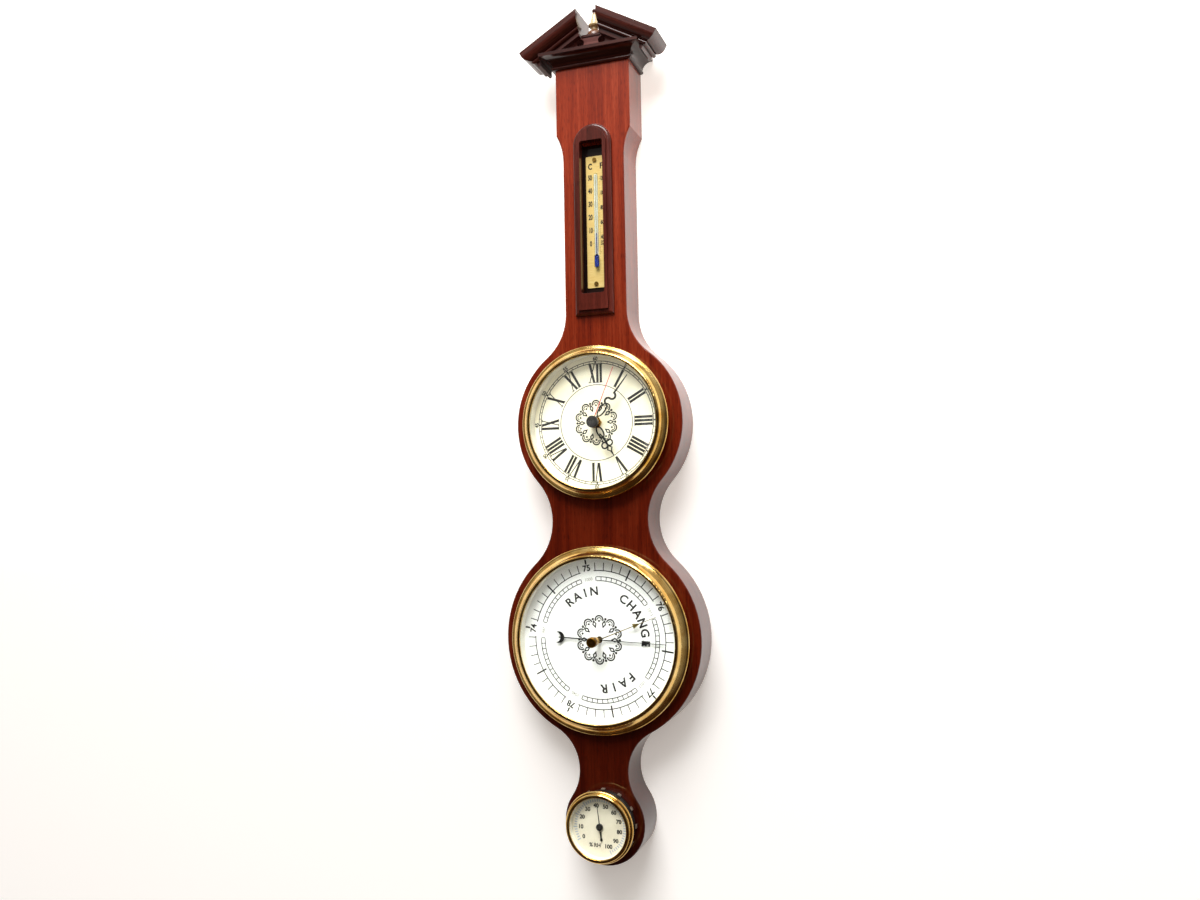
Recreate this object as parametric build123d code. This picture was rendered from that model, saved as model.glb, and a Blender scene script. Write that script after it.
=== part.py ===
from build123d import *
import math
import os

# A wall weather station in a long mahogany case: thermometer, quartz clock, aneroid barometer, hygrometer.
# Millimetres, +Z up. The wall is the plane Y = 0, the front faces -Y, and the origin is the hanging eye.
# A distance is measured out from the wall, and a rise is measured out from the front face of the case.

# Case board
case_depth = 37.0
barometer_drop = 500.0
clock_rise = 193.0
hygrometer_drop = 160.0
barometer_lobe_radius = 91.5
clock_lobe_radius = 79.0
hygrometer_lobe_radius = 37.0
upper_waist_radius = 52.5
lower_waist_radius = 40.0
neck_flare_radius = 50.0
neck_width = 59.0
head_width = 72.0
head_height = 76.0
shoulder_height = 25.0
shoulder_above_barometer = 462.0
case_edge_round = 1.2
case_floor = 3.0
insert_clearance = 0.25

# Hanging plate on the back of the head
hanger_eye_radius = 4.5
hanger_width = 44.0
hanger_height = 22.0
hanger_thickness = 1.5
hanger_screw_spacing = 32.0
nail_pocket_radius = 8.0
nail_pocket_depth = 9.0

# One small round-head screw, used for the hanging plate and for the thermometer scale
screw_radius = 1.2
screw_head_radius = 2.0
screw_head_height = 1.0
screw_length = 9.0

# Pediment
cornice_height = 14.0
cornice_overhang = 12.2
cornice_bead = 3.4
cornice_fascia = 3.0
rake_half_span = 66.5
rake_tip_above_cornice = 3.0
rake_slope = 29.5
rake_height = 19.0
rake_front_rise = 13.8
rake_back_depth = 22.0
rake_fascia = 4.0
rake_cove_recess = 5.6
rake_cove_drop = 11.5
rake_bead = 3.6
pediment_gap = 19.4
tympanum_thickness = 24.0
tympanum_hole_radius = 3.5
tympanum_hole_spacing = 20.8
tympanum_hole_depth = 6.0
tympanum_hole_height = 8.6
plinth_width = 18.0
plinth_depth = 20.0
plinth_thickness = 2.4
plinth_overhang = 0.8

# Turned finial, bottom to top
finial_setback = 11.0
finial_base_radius = 7.6
finial_base_height = 8.0
finial_neck_radius = 3.2
finial_ring_radius = 5.9
finial_ring_height = 3.0
finial_cone_height = 11.0
finial_cone_top_radius = 1.6
finial_ball_radius = 2.3
finial_stud_radius = 2.0
finial_stud_length = 9.0

# Thermometer
frame_width = 37.0
frame_bottom_above_barometer = 291.0
frame_height = 177.0
frame_base_thickness = 4.0
frame_thickness = 6.5
frame_edge_width = 4.4
frame_bead_round = 2.6
window_width = 22.0
window_margin = 19.5
window_top_margin = 16.5
window_corner = 2.0
scale_width = 17.0
scale_margin = 6.6
scale_top_margin = 11.8
scale_thickness = 0.8
scale_recess = 4.0
scale_screw_inset = 3.6
tube_offset = 1.8
tube_radius = 1.7
tube_foot = 17.6
tube_top_margin = 17.0
bulb_radius = 2.5
bulb_length = 12.5
glass_wall = 0.5
bore_radius = 0.35
spirit_height = 32.0
liquid_clearance = 0.02
tube_stand_off = 0.15

# Shared construction of the three round instruments
dial_thickness = 0.8
glass_thickness = 1.8
glass_lap = 1.0
can_lap = 1.4
can_wall = 1.0
can_flange = 1.0
bezel_sheet = 0.9
bezel_clearance = 0.15
lip_thickness = 1.1
roll_radius = 1.8
reflector_wall = 0.8
seat_gap = 0.1

# Clock insert
clock_bezel_radius = 69.0
clock_bezel_width = 9.4
clock_rim_rise = 10.0
clock_dial_rise = 3.5
clock_reflector_height = 10.4
clock_crown = 6.5
clock_can_depth = 9.0
clock_back_opening = 46.0

# Barometer insert
barometer_bezel_radius = 83.0
barometer_bezel_width = 11.0
barometer_rim_rise = 7.6
barometer_dial_rise = 5.0
barometer_reflector_height = 8.6
barometer_crown = 4.0
barometer_can_room = 1.0

# Hygrometer insert, which stands further out of the case
hygrometer_bezel_radius = 31.2
hygrometer_bezel_width = 5.2
hygrometer_rim_rise = 13.5
hygrometer_dial_rise = 11.5
hygrometer_reflector_height = 4.6
hygrometer_crown = 2.4
hygrometer_can_depth = 20.0
hygrometer_seat_rise = 8.0
grip_ring_wall = 1.0
grip_ring_height = 2.4
grip_claw_count = 12
grip_claw_width = 3.2
grip_claw_length = 1.5
grip_claw_height = 3.2

# Quartz movement behind the clock dial
movement_width = 56.0
movement_below_arbor = 34.0
movement_depth = 16.0
movement_wall = 1.5
bush_radius = 4.0
bush_length = 5.0
bush_flange_radius = 5.5
bush_flange_thickness = 1.0
dial_nut_radius = 5.6
dial_nut_thickness = 2.2
running_clearance = 0.06
press_clearance = 0.01
face_clearance = 0.12
seconds_arbor_radius = 0.6
minute_tube_radius = 1.25
hour_tube_radius = 1.95
hand_thickness = 0.5
hand_step = 1.7
first_hand_gap = 0.6
wheel_thickness = 1.4
wheel_gap = 1.2
wheel_module = 0.5
cannon_teeth = 12
change_wheel_teeth = 36
change_pinion_teeth = 10
hour_wheel_teeth = 40
seconds_wheel_radius = 8.0
battery_radius = 7.1
battery_length = 50.0
battery_clearance = 0.2
battery_cap_radius = 2.7
battery_cap_length = 0.9
knob_radius = 6.0
knob_thickness = 4.0
knob_gap = 0.4
knob_notches = 18
knob_notch_radius = 0.45
coil_radius = 3.5
coil_length = 20.0
bobbin_flange = 0.8
circuit_board_width = 14.0
circuit_board_height = 24.0
circuit_board_thickness = 1.0

# Clock hands
minute_hand_length = 52.0
hour_hand_length = 35.5
seconds_hand_length = 52.0
minute_hand_angle = 38.5
hour_hand_angle = 149.5
seconds_hand_angle = 22.5
hand_boss_radius = 4.2
hand_width = 1.8
hand_tip_width = 0.6
leaf_wall = 1.3
leaf_width = 6.6
minute_leaf_start = 6.0
minute_leaf_length = 14.5
minute_wave_radius = 4.0
hour_leaf_start = 4.6
hour_leaf_length = 12.0
hour_ring_radius = 3.3
hour_ring_place = 23.2
hour_lozenge_width = 6.0
hour_lozenge_length = 7.0
seconds_hand_width = 0.8
hub_radius = 5.4
hub_height = 2.4

# Barometer movement and hands
capsule_radius = 24.0
capsule_thickness = 8.0
capsule_rib = 0.8
capsule_ribs = 6
capsule_stud_radius = 2.2
capsule_stud_length = 3.0
base_plate_margin = 8.0
base_plate_thickness = 1.5
spring_width = 18.0
spring_thickness = 1.2
spring_reach = 32.0
pillar_radius = 2.5
pillar_spacing = 88.0
bridge_width = 14.0
bridge_thickness = 1.5
bridge_distance = 23.5
bridge_bush_radius = 3.4
bridge_bush_length = 2.2
arbor_radius = 1.0
sector_module = 0.5
arbor_pinion_teeth = 12
sector_teeth_full_circle = 144
sector_teeth = 20
sector_thickness = 1.2
sector_post_radius = 1.2
sector_hub_radius = 3.5
sector_arm_width = 5.0
sector_rim_width = 3.0
pressure_hand_length = 62.0
pressure_tail_length = 38.0
pressure_hand_angle = 92.5
pressure_hand_width = 1.0
crescent_radius = 5.2
arrow_length = 7.0
arrow_width = 4.6
arrow_place = 41.0
set_hand_length = 57.5
set_hand_angle = 68.5
set_hand_width = 0.9
set_arrow_place = 35.0
set_hand_gap = 1.6
set_shaft_radius = 1.5
set_nut_radius = 3.8
set_nut_thickness = 1.2
set_knob_radius = 4.6
set_knob_length = 4.4
set_knob_neck = 2.2
set_neck_length = 2.0
pivot_clearance = 0.08
adjuster_radius = 2.0
adjuster_head_radius = 3.5
adjuster_head_height = 1.6
adjuster_place = 30.0
driver_room = 1.0

# Hygrometer movement and needle
needle_length = 18.0
needle_tail_length = 11.0
needle_angle = -7.3
needle_width = 0.7
needle_hub_radius = 3.0
needle_hub_height = 1.4
needle_gap = 0.9
needle_thickness = 0.4
humidity_arbor_radius = 0.7
yoke_thickness = 1.2
yoke_width = 9.0
yoke_distance_behind_dial = 12.0
yoke_post_radius = 1.6
coil_strip = 0.5
coil_strip_width = 5.0
coil_inner_radius = 2.0
coil_pitch = 2.0
coil_half_turns = 7


# Places worked out from the sizes above
barometer_z = -barometer_drop
clock_z = barometer_z + clock_rise
hygrometer_z = barometer_z - hygrometer_drop
shoulder_z = barometer_z + shoulder_above_barometer
head_top_z = shoulder_z + head_height
frame_bottom_z = barometer_z + frame_bottom_above_barometer
window_height = frame_height - window_margin - window_top_margin
window_z = frame_bottom_z + window_margin + window_height / 2
scale_height = window_height - scale_margin - scale_top_margin
tube_length = scale_height - tube_foot - tube_top_margin


# Shape helpers
def facing_room(distance, x=0.0, z=0.0):
    return Plane((x, -distance, z), x_dir=(1, 0, 0), z_dir=(0, -1, 0))


def plate(outline, start, end, x=0.0, z=0.0):
    return extrude(facing_room(start, x, z) * outline, amount=end - start)


def rod(radius, start, end, x=0.0, z=0.0):
    return plate(Circle(radius), start, end, x, z)


def ring(radius, bore, start, end, x=0.0, z=0.0):
    return rod(radius, start, end, x, z) - rod(bore, start, end, x, z)


def polygon(*points):
    return make_face(Polyline(*points, close=True))


def arc_about(centre, start, end):
    middle = Vector(centre)
    bisector = (Vector(start) - middle) + (Vector(end) - middle)
    radius = (Vector(start) - middle).length
    return ThreePointArc(start, middle + bisector.normalized() * radius, end)


def turned(edges, z=0.0, x=0.0):
    return Pos(x, 0, z) * revolve(make_face(edges), Axis.Y)


def turned_polygon(points, z=0.0, x=0.0):
    return turned(Polyline(*[(radius, -distance) for radius, distance in points], close=True), z, x)


def at_angle(radius, degrees):
    return (radius * math.sin(math.radians(degrees)), radius * math.cos(math.radians(degrees)))


def toothed(teeth, module, first_angle):
    pitch_radius = teeth * module / 2
    outer = pitch_radius + 0.75 * module
    root = pitch_radius - 1.1 * module
    step = 360 / teeth
    points = []
    for tooth in range(teeth):
        for radius, share in ((root, -0.27), (outer, -0.1), (outer, 0.1), (root, 0.27)):
            points.append(at_angle(radius, first_angle + (tooth + share) * step))
    return polygon(*points)


# Case
def waist_centre(z_a, radius_a, z_b, radius_b, waist_radius):
    reach_a = radius_a + waist_radius
    reach_b = radius_b + waist_radius
    gap = z_a - z_b
    along = (reach_a**2 - reach_b**2 + gap**2) / (2 * gap)
    return (math.sqrt(reach_a**2 - along**2), z_a - along)


def toward(z_centre, radius, point):
    direction = Vector(point[0], point[1] - z_centre).normalized() * radius
    return (direction.X, direction.Y + z_centre)


def case_outline():
    half_head = head_width / 2
    half_neck = neck_width / 2
    step = half_head - half_neck
    shoulder_radius = (shoulder_height**2 + step**2) / (2 * step)
    neck_top = shoulder_z - shoulder_height
    flare_reach = clock_lobe_radius + neck_flare_radius
    flare_rise = math.sqrt(flare_reach**2 - (half_neck + neck_flare_radius) ** 2)
    flare = (half_neck + neck_flare_radius, clock_z + flare_rise)
    upper = waist_centre(clock_z, clock_lobe_radius, barometer_z, barometer_lobe_radius, upper_waist_radius)
    lower = waist_centre(barometer_z, barometer_lobe_radius, hygrometer_z, hygrometer_lobe_radius,
                         lower_waist_radius)
    points = [
        (half_head, head_top_z),
        (half_head, shoulder_z),
        (half_neck, neck_top),
        (half_neck, flare[1]),
        toward(clock_z, clock_lobe_radius, flare),
        toward(clock_z, clock_lobe_radius, upper),
        toward(barometer_z, barometer_lobe_radius, upper),
        toward(barometer_z, barometer_lobe_radius, lower),
        toward(hygrometer_z, hygrometer_lobe_radius, lower),
    ]
    centres = [
        None,
        (half_neck + shoulder_radius, neck_top),
        None,
        flare,
        (0, clock_z),
        upper,
        (0, barometer_z),
        lower,
    ]
    edges = []
    for side in (1, -1):
        for centre, first, last in zip(centres, points, points[1:]):
            ends = (side * first[0], first[1]), (side * last[0], last[1])
            edges.append(arc_about((side * centre[0], centre[1]), *ends) if centre else Line(*ends))
    right_end = points[-1]
    left_end = (-right_end[0], right_end[1])
    edges.append(ThreePointArc(right_end, (0, hygrometer_z - hygrometer_lobe_radius), left_end))
    edges.append(Line((-half_head, head_top_z), (half_head, head_top_z)))
    return make_face(edges)


def window_outline():
    return RectangleRounded(window_width, window_height, window_corner)



def case_body():
    board = plate(case_outline(), 0, case_depth)
    front_edges = board.faces().sort_by(Axis.Y)[0].outer_wire().edges()
    board = fillet(front_edges, case_edge_round)
    for instrument in (clock, barometer):
        board -= rod(instrument.bore_radius, case_floor, case_depth, z=instrument.z)
    board -= rod(adjuster_head_radius + driver_room, 0, case_depth, z=barometer_z - adjuster_place)
    blind_end = hygrometer.can_back - insert_clearance
    board -= rod(hygrometer.bore_radius, blind_end, case_depth, z=hygrometer.z)
    pocket_floor = case_depth - scale_recess - scale_thickness
    board -= plate(window_outline(), pocket_floor, case_depth, z=window_z)
    board -= plate(Rectangle(hanger_width, hanger_height), 0, hanger_thickness)
    board -= rod(nail_pocket_radius, 0, hanger_thickness + nail_pocket_depth)
    for side in (-1, 1):
        board -= rod(screw_radius, 0, screw_head_height + screw_length, side * hanger_screw_spacing / 2)
    for z in scale_screw_heights():
        board -= rod(screw_radius, scale_front - screw_length, scale_front, z=z)
    return board


# Hanging plate, set flush in the back of the head
def hanger_plate():
    body = plate(Rectangle(hanger_width, hanger_height), 0, hanger_thickness)
    body -= rod(hanger_eye_radius, 0, hanger_thickness)
    for side in (-1, 1):
        body -= rod(screw_head_radius, 0, screw_head_height, side * hanger_screw_spacing / 2)
        body -= rod(screw_radius, 0, hanger_thickness, side * hanger_screw_spacing / 2)
    return body


def small_screws():
    shank_radius = screw_radius - press_clearance
    head_radius = screw_head_radius - press_clearance
    screws = []
    for side in (-1, 1):
        x = side * hanger_screw_spacing / 2
        screws.append(rod(head_radius, 0, screw_head_height, x)
                      + rod(shank_radius, screw_head_height, screw_head_height + screw_length, x))
    for z in scale_screw_heights():
        screws.append(rod(head_radius, scale_front, scale_front + screw_head_height, z=z)
                      + rod(shank_radius, scale_front - screw_length, scale_front, z=z))
    return Compound(screws)


# Cornice: a cove moulding over a bead, mitred round the head
cornice_bottom_z = head_top_z - cornice_height


def cornice_edges(base):
    bead_end = cornice_bottom_z + cornice_bead
    cove_end = head_top_z - cornice_fascia
    bead_start = base + cornice_bead / 3
    cove_start = bead_start + cornice_bead / 4
    cove_reach = base + cornice_overhang - cornice_bead / 4
    front = base + cornice_overhang
    cove_middle = (cove_start + 0.3 * (cove_reach - cove_start), bead_end + 0.7 * (cove_end - bead_end))
    bead_middle = (bead_start + cornice_bead / 2, (cornice_bottom_z + bead_end) / 2)
    return [
        Line((0, cornice_bottom_z), (bead_start, cornice_bottom_z)),
        ThreePointArc((bead_start, cornice_bottom_z), bead_middle, (bead_start, bead_end)),
        Line((bead_start, bead_end), (cove_start, bead_end)),
        ThreePointArc((cove_start, bead_end), cove_middle, (cove_reach, cove_end)),
        Line((cove_reach, cove_end), (front, cove_end)),
        Line((front, cove_end), (front, head_top_z)),
        Line((front, head_top_z), (0, head_top_z)),
        Line((0, head_top_z), (0, cornice_bottom_z)),
    ]


def cornice_pieces():
    half_head = head_width / 2
    reach = half_head + 2 * cornice_overhang
    side_face = make_face(cornice_edges(half_head))
    across = plate(side_face + mirror(side_face, about=Plane.YZ), 0, case_depth + 2 * cornice_overhang)
    end_plane = Plane((reach, 0, 0), x_dir=(0, -1, 0), z_dir=(-1, 0, 0))
    along = extrude(end_plane * make_face(cornice_edges(case_depth)), amount=2 * reach)
    head_outline = Pos(0, head_top_z - cornice_height) * Rectangle(head_width, 4 * cornice_height)
    head = plate(head_outline, 0, case_depth)
    moulding = across & along
    moulding -= head
    far = 2 * cornice_overhang
    mitre = polygon((-half_head, -case_depth), (half_head, -case_depth), (half_head + far, -case_depth - far),
                    (-half_head - far, -case_depth - far))
    wedge = extrude(Plane.XY.offset(cornice_bottom_z - cornice_height) * mitre, amount=3 * cornice_height)
    returns = moulding - wedge
    right = returns.solids().sort_by(Axis.X)[-1]
    left = returns.solids().sort_by(Axis.X)[0]
    return moulding & wedge, left, right


# Raking mouldings of the broken pediment, with a return at the lower end and a plumb cut at the top
rake_tip_z = head_top_z + rake_tip_above_cornice
slope_cos = math.cos(math.radians(rake_slope))
slope_sin = math.sin(math.radians(rake_slope))
rake_length = (rake_half_span - pediment_gap / 2) / slope_cos


def rake_edges(far):
    cove_end = rake_fascia + (rake_cove_drop - rake_fascia)
    cove_middle = (0.35 * rake_cove_recess, rake_fascia + 0.72 * (rake_cove_drop - rake_fascia))
    bead_start = rake_cove_recess + rake_bead / 3
    bead_end = cove_end + rake_bead
    foot_recess = bead_start + rake_bead / 3
    return [
        Line((0, 0), (0, rake_fascia)),
        ThreePointArc((0, rake_fascia), cove_middle, (rake_cove_recess, cove_end)),
        Line((rake_cove_recess, cove_end), (bead_start, cove_end)),
        ThreePointArc((bead_start, cove_end), (bead_start - rake_bead / 2, cove_end + rake_bead / 2),
                      (bead_start, bead_end)),
        Line((bead_start, bead_end), (foot_recess, bead_end)),
        Line((foot_recess, bead_end), (foot_recess, rake_height)),
        Line((foot_recess, rake_height), (far, rake_height)),
        Line((far, rake_height), (far, 0)),
        Line((far, 0), (0, 0)),
    ]


def rake_right():
    front = case_depth + rake_front_rise
    back = case_depth - rake_back_depth
    tip = (rake_half_span, 0, rake_tip_z)
    up_slope = Vector(-slope_cos, 0, slope_sin)
    end_plane = Plane((tip[0], -back, tip[2]), x_dir=up_slope, z_dir=(0, -1, 0))
    profile_length = rake_length + rake_height
    lower_end = extrude(end_plane * make_face(rake_edges(profile_length)), amount=front - back)
    front_plane = Plane((tip[0], -front, tip[2]), x_dir=(0, 1, 0), z_dir=up_slope)
    front_run = extrude(front_plane * make_face(rake_edges(front - back)), amount=profile_length)
    moulding = lower_end & front_run
    beyond = pediment_gap / 2 - rake_half_span / 2
    gap = plate(Pos(beyond, rake_tip_z) * Rectangle(rake_half_span, 8 * rake_height), 0, 2 * front)
    seat_width = head_width + 2 * cornice_overhang
    below = plate(Pos(0, head_top_z - 2 * rake_height) * Rectangle(seat_width, 4 * rake_height), 0, 2 * front)
    return moulding - gap - below


def underside_height(x):
    foot = rake_tip_z - rake_height / slope_cos
    return foot + (rake_half_span - x) * slope_sin / slope_cos


def tympanum():
    half_gap = pediment_gap / 2
    top = underside_height(half_gap)
    corner = rake_half_span - (head_top_z - underside_height(rake_half_span)) * slope_cos / slope_sin
    outline = polygon((-corner, head_top_z), (corner, head_top_z), (half_gap, top), (-half_gap, top))
    board = plate(outline, case_depth - tympanum_thickness, case_depth)
    hole_z = head_top_z + tympanum_hole_height
    for side in (-1, 1):
        board -= rod(tympanum_hole_radius, case_depth - tympanum_hole_depth, case_depth,
                     x=side * tympanum_hole_spacing / 2, z=hole_z)
    board -= finial_stud_hole()
    return board


plinth_bottom_z = underside_height(pediment_gap / 2)
plinth_top_z = plinth_bottom_z + plinth_thickness
finial_distance = case_depth - finial_setback


def finial_stud_hole():
    foot = Plane((0, -finial_distance, plinth_top_z - finial_stud_length))
    return extrude(foot * Circle(finial_stud_radius), amount=finial_stud_length)


def finial_plinth():
    centre = case_depth + plinth_overhang - plinth_depth / 2
    foot = Plane((0, -centre, plinth_bottom_z))
    block = extrude(foot * Rectangle(plinth_width, plinth_depth), amount=plinth_thickness)
    block = fillet(block.faces().sort_by(Axis.Z)[-1].edges(), plinth_thickness / 4)
    return block - finial_stud_hole()


def finial():
    ring_z = finial_base_height + finial_neck_radius
    cone_z = ring_z + finial_ring_height
    ball_z = cone_z + finial_cone_height
    ball_middle = ball_z + math.sqrt(finial_ball_radius**2 - finial_cone_top_radius**2)
    outline = [
        Line((0, 0), (finial_base_radius, 0)),
        Line((finial_base_radius, 0), (finial_base_radius, finial_base_height / 4)),
        ThreePointArc((finial_base_radius, finial_base_height / 4),
                      (0.8 * finial_base_radius, 0.75 * finial_base_height),
                      (finial_neck_radius, finial_base_height)),
        Line((finial_neck_radius, finial_base_height), (finial_neck_radius, ring_z)),
        Line((finial_neck_radius, ring_z), (finial_ring_radius - finial_ring_height / 2, ring_z)),
        ThreePointArc((finial_ring_radius - finial_ring_height / 2, ring_z),
                      (finial_ring_radius, ring_z + finial_ring_height / 2),
                      (finial_ring_radius - finial_ring_height / 2, cone_z)),
        Line((finial_ring_radius - finial_ring_height / 2, cone_z), (finial_cone_top_radius, ball_z)),
        arc_about((0, ball_middle), (finial_cone_top_radius, ball_z), (0, ball_middle + finial_ball_radius)),
        Line((0, ball_middle + finial_ball_radius), (0, 0)),
    ]
    upright = Plane((0, -finial_distance, plinth_top_z), x_dir=(1, 0, 0), z_dir=(0, -1, 0))
    axis = Axis((0, -finial_distance, plinth_top_z), (0, 0, 1))
    body = revolve(upright * make_face(outline), axis)
    foot = Plane((0, -finial_distance, plinth_top_z - finial_stud_length))
    return body + extrude(foot * Circle(finial_stud_radius - press_clearance), amount=finial_stud_length)


# Thermometer
def arch_outline(inset):
    half = frame_width / 2 - inset
    bottom = inset
    spring = frame_height - frame_width / 2
    edges = [
        Line((-half, bottom), (half, bottom)),
        Line((half, bottom), (half, spring)),
        ThreePointArc((half, spring), (0, spring + half), (-half, spring)),
        Line((-half, spring), (-half, bottom)),
    ]
    return make_face(edges)


def thermometer_frame():
    base = plate(arch_outline(0), case_depth, case_depth + frame_base_thickness, z=frame_bottom_z)
    base = fillet(base.faces().sort_by(Axis.Y)[0].edges(), frame_bead_round)
    face_start = case_depth + frame_base_thickness
    face = plate(arch_outline(frame_edge_width), face_start, case_depth + frame_thickness, z=frame_bottom_z)
    frame = base + face
    return frame - plate(window_outline(), case_depth, case_depth + frame_thickness, z=window_z)


scale_bottom_z = frame_bottom_z + window_margin + scale_margin
scale_back = case_depth - scale_recess - scale_thickness
scale_front = case_depth - scale_recess
tube_bottom_z = scale_bottom_z + tube_foot
tube_distance = scale_front + tube_stand_off + bulb_radius


def scale_screw_heights():
    return (scale_bottom_z + scale_screw_inset, scale_bottom_z + scale_height - scale_screw_inset)


def thermometer_scale():
    outline = RectangleRounded(scale_width, scale_height, scale_thickness)
    body = plate(outline, scale_back, scale_front, z=scale_bottom_z + scale_height / 2)
    for z in scale_screw_heights():
        body -= rod(screw_radius, scale_back, scale_front, z=z)
    return body


def upright_turned(points, x, distance, z):
    place = Plane((x, -distance, z), x_dir=(1, 0, 0), z_dir=(0, -1, 0))
    return revolve(place * make_face(points), Axis((x, -distance, z), (0, 0, 1)))


def tube_edges(inset, height, top_radius):
    bulb = bulb_radius - inset
    stem = top_radius
    shoulder = bulb_length - inset
    return [
        Line((0, inset), (bulb - bulb_radius / 2, inset)),
        ThreePointArc((bulb - bulb_radius / 2, inset), (bulb - bulb_radius / 7, inset + bulb_radius / 7),
                      (bulb, inset + bulb_radius / 2)),
        Line((bulb, inset + bulb_radius / 2), (bulb, shoulder - bulb_radius / 2)),
        Line((bulb, shoulder - bulb_radius / 2), (stem, shoulder)),
        Line((stem, shoulder), (stem, height)),
        Line((stem, height), (0, height)),
        Line((0, height), (0, inset)),
    ]


def thermometer_tube():
    outer = upright_turned(tube_edges(0, tube_length, tube_radius), tube_offset, tube_distance, tube_bottom_z)
    top = outer.faces().sort_by(Axis.Z)[-1].edges()
    outer = fillet(top, tube_radius / 2)
    hollow = upright_turned(tube_edges(glass_wall, tube_length - tube_radius, bore_radius),
                            tube_offset, tube_distance, tube_bottom_z)
    return outer - hollow


def thermometer_spirit():
    inset = glass_wall + liquid_clearance
    return upright_turned(tube_edges(inset, spirit_height, bore_radius - liquid_clearance),
                          tube_offset, tube_distance, tube_bottom_z)


# Round instruments: a sheet-metal can, a dial, a reflector ring, a domed glass and a spun bezel
class Instrument:
    def __init__(self, z, bezel_radius, bezel_width, rim_rise, dial_rise, reflector_height, crown, can_depth,
                 seat_rise):
        self.z = z
        self.bezel_radius = bezel_radius
        self.lip_radius = bezel_radius - bezel_width
        self.glass_radius = self.lip_radius + glass_lap
        self.can_radius = self.lip_radius + can_lap
        self.bore_radius = self.can_radius + insert_clearance
        self.inner_radius = self.can_radius + bezel_clearance
        self.skirt_radius = self.inner_radius + bezel_sheet
        self.rim = case_depth + rim_rise
        self.seat = case_depth + seat_rise
        self.dial_front = case_depth + dial_rise
        self.dial_back = self.dial_front - dial_thickness
        self.glass_edge = self.dial_front + reflector_height
        self.crown = crown
        self.can_back = case_depth - can_depth
        rise_at_lip = crown * (1 - (self.lip_radius / self.glass_radius) ** 2)
        self.lip_under = self.glass_edge + glass_thickness + rise_at_lip + seat_gap
        self.crest = self.lip_under + lip_thickness
        self.glass_inside = self.glass_edge + crown


def instrument_can(instrument, back_opening):
    radius = instrument.can_radius
    shell = ring(radius, radius - can_wall, instrument.can_back, instrument.dial_back, z=instrument.z)
    back = rod(radius, instrument.can_back, instrument.can_back + can_wall, z=instrument.z)
    flange_end = instrument.seat + can_flange
    flange = ring(instrument.skirt_radius, radius - can_wall, instrument.seat, flange_end, z=instrument.z)
    can = shell + back + flange
    if back_opening:
        can -= rod(back_opening, instrument.can_back, instrument.can_back + can_wall, z=instrument.z)
    return can


def instrument_dial(instrument, centre_hole):
    back = instrument.dial_back
    return ring(instrument.can_radius, centre_hole, back, instrument.dial_front, z=instrument.z)


def instrument_reflector(instrument):
    outer = instrument.glass_radius
    return ring(outer, outer - reflector_wall, instrument.dial_front, instrument.glass_edge, z=instrument.z)


def instrument_glass(instrument, centre_hole):
    radius = instrument.glass_radius
    inside = instrument.glass_inside
    edge = instrument.glass_edge
    sphere_radius = (radius**2 + instrument.crown**2) / (2 * instrument.crown)
    inner_centre = (0, sphere_radius - inside)
    outer_centre = (0, sphere_radius - inside - glass_thickness)
    edges = [
        Line((0, -inside), (0, -inside - glass_thickness)),
        arc_about(outer_centre, (0, -inside - glass_thickness), (radius, -edge - glass_thickness)),
        Line((radius, -edge - glass_thickness), (radius, -edge)),
        arc_about(inner_centre, (radius, -edge), (0, -inside)),
    ]
    glass = turned(edges, instrument.z)
    if centre_hole:
        glass -= rod(centre_hole, edge, inside + 2 * glass_thickness, z=instrument.z)
    return glass


def instrument_bezel(instrument):
    rim_radius = instrument.bezel_radius
    skirt = instrument.skirt_radius
    inner = instrument.inner_radius
    lip = instrument.lip_radius
    rim = instrument.rim
    crest = instrument.crest
    seat = instrument.seat + can_flange
    under = instrument.lip_under
    roll_low = (rim_radius - roll_radius, -(rim - roll_radius))
    roll_high = (rim_radius - roll_radius, -(rim + roll_radius))
    flank_top = (skirt + bezel_sheet, -(crest - lip_thickness))
    flank_middle = (0.6 * flank_top[0] + 0.4 * roll_high[0], 0.4 * flank_top[1] + 0.6 * roll_high[1])
    crest_start = (lip + lip_thickness / 2, -crest)
    edges = [
        Line((inner, -seat), (skirt, -seat)),
        Line((skirt, -seat), (skirt, roll_low[1])),
        Line((skirt, roll_low[1]), roll_low),
        ThreePointArc(roll_low, (rim_radius, -rim), roll_high),
        ThreePointArc(roll_high, flank_middle, flank_top),
        ThreePointArc(flank_top, (skirt, -(crest - 0.2 * lip_thickness)), (skirt - bezel_sheet, -crest)),
        Line((skirt - bezel_sheet, -crest), crest_start),
        ThreePointArc(crest_start, (lip + 0.15 * lip_thickness, -(crest - 0.15 * lip_thickness)),
                      (lip, -(crest - lip_thickness / 2))),
        Line((lip, -(crest - lip_thickness / 2)), (lip, -under)),
        Line((lip, -under), (inner, -under)),
        Line((inner, -under), (inner, -seat)),
    ]
    return turned(edges, instrument.z)


clock = Instrument(clock_z, clock_bezel_radius, clock_bezel_width, clock_rim_rise, clock_dial_rise,
                   clock_reflector_height, clock_crown, clock_can_depth, 0)
barometer = Instrument(barometer_z, barometer_bezel_radius, barometer_bezel_width, barometer_rim_rise,
                       barometer_dial_rise, barometer_reflector_height, barometer_crown,
                       case_depth - case_floor - barometer_can_room, 0)
hygrometer = Instrument(hygrometer_z, hygrometer_bezel_radius, hygrometer_bezel_width, hygrometer_rim_rise,
                        hygrometer_dial_rise, hygrometer_reflector_height, hygrometer_crown,
                        hygrometer_can_depth, hygrometer_seat_rise)


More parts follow.
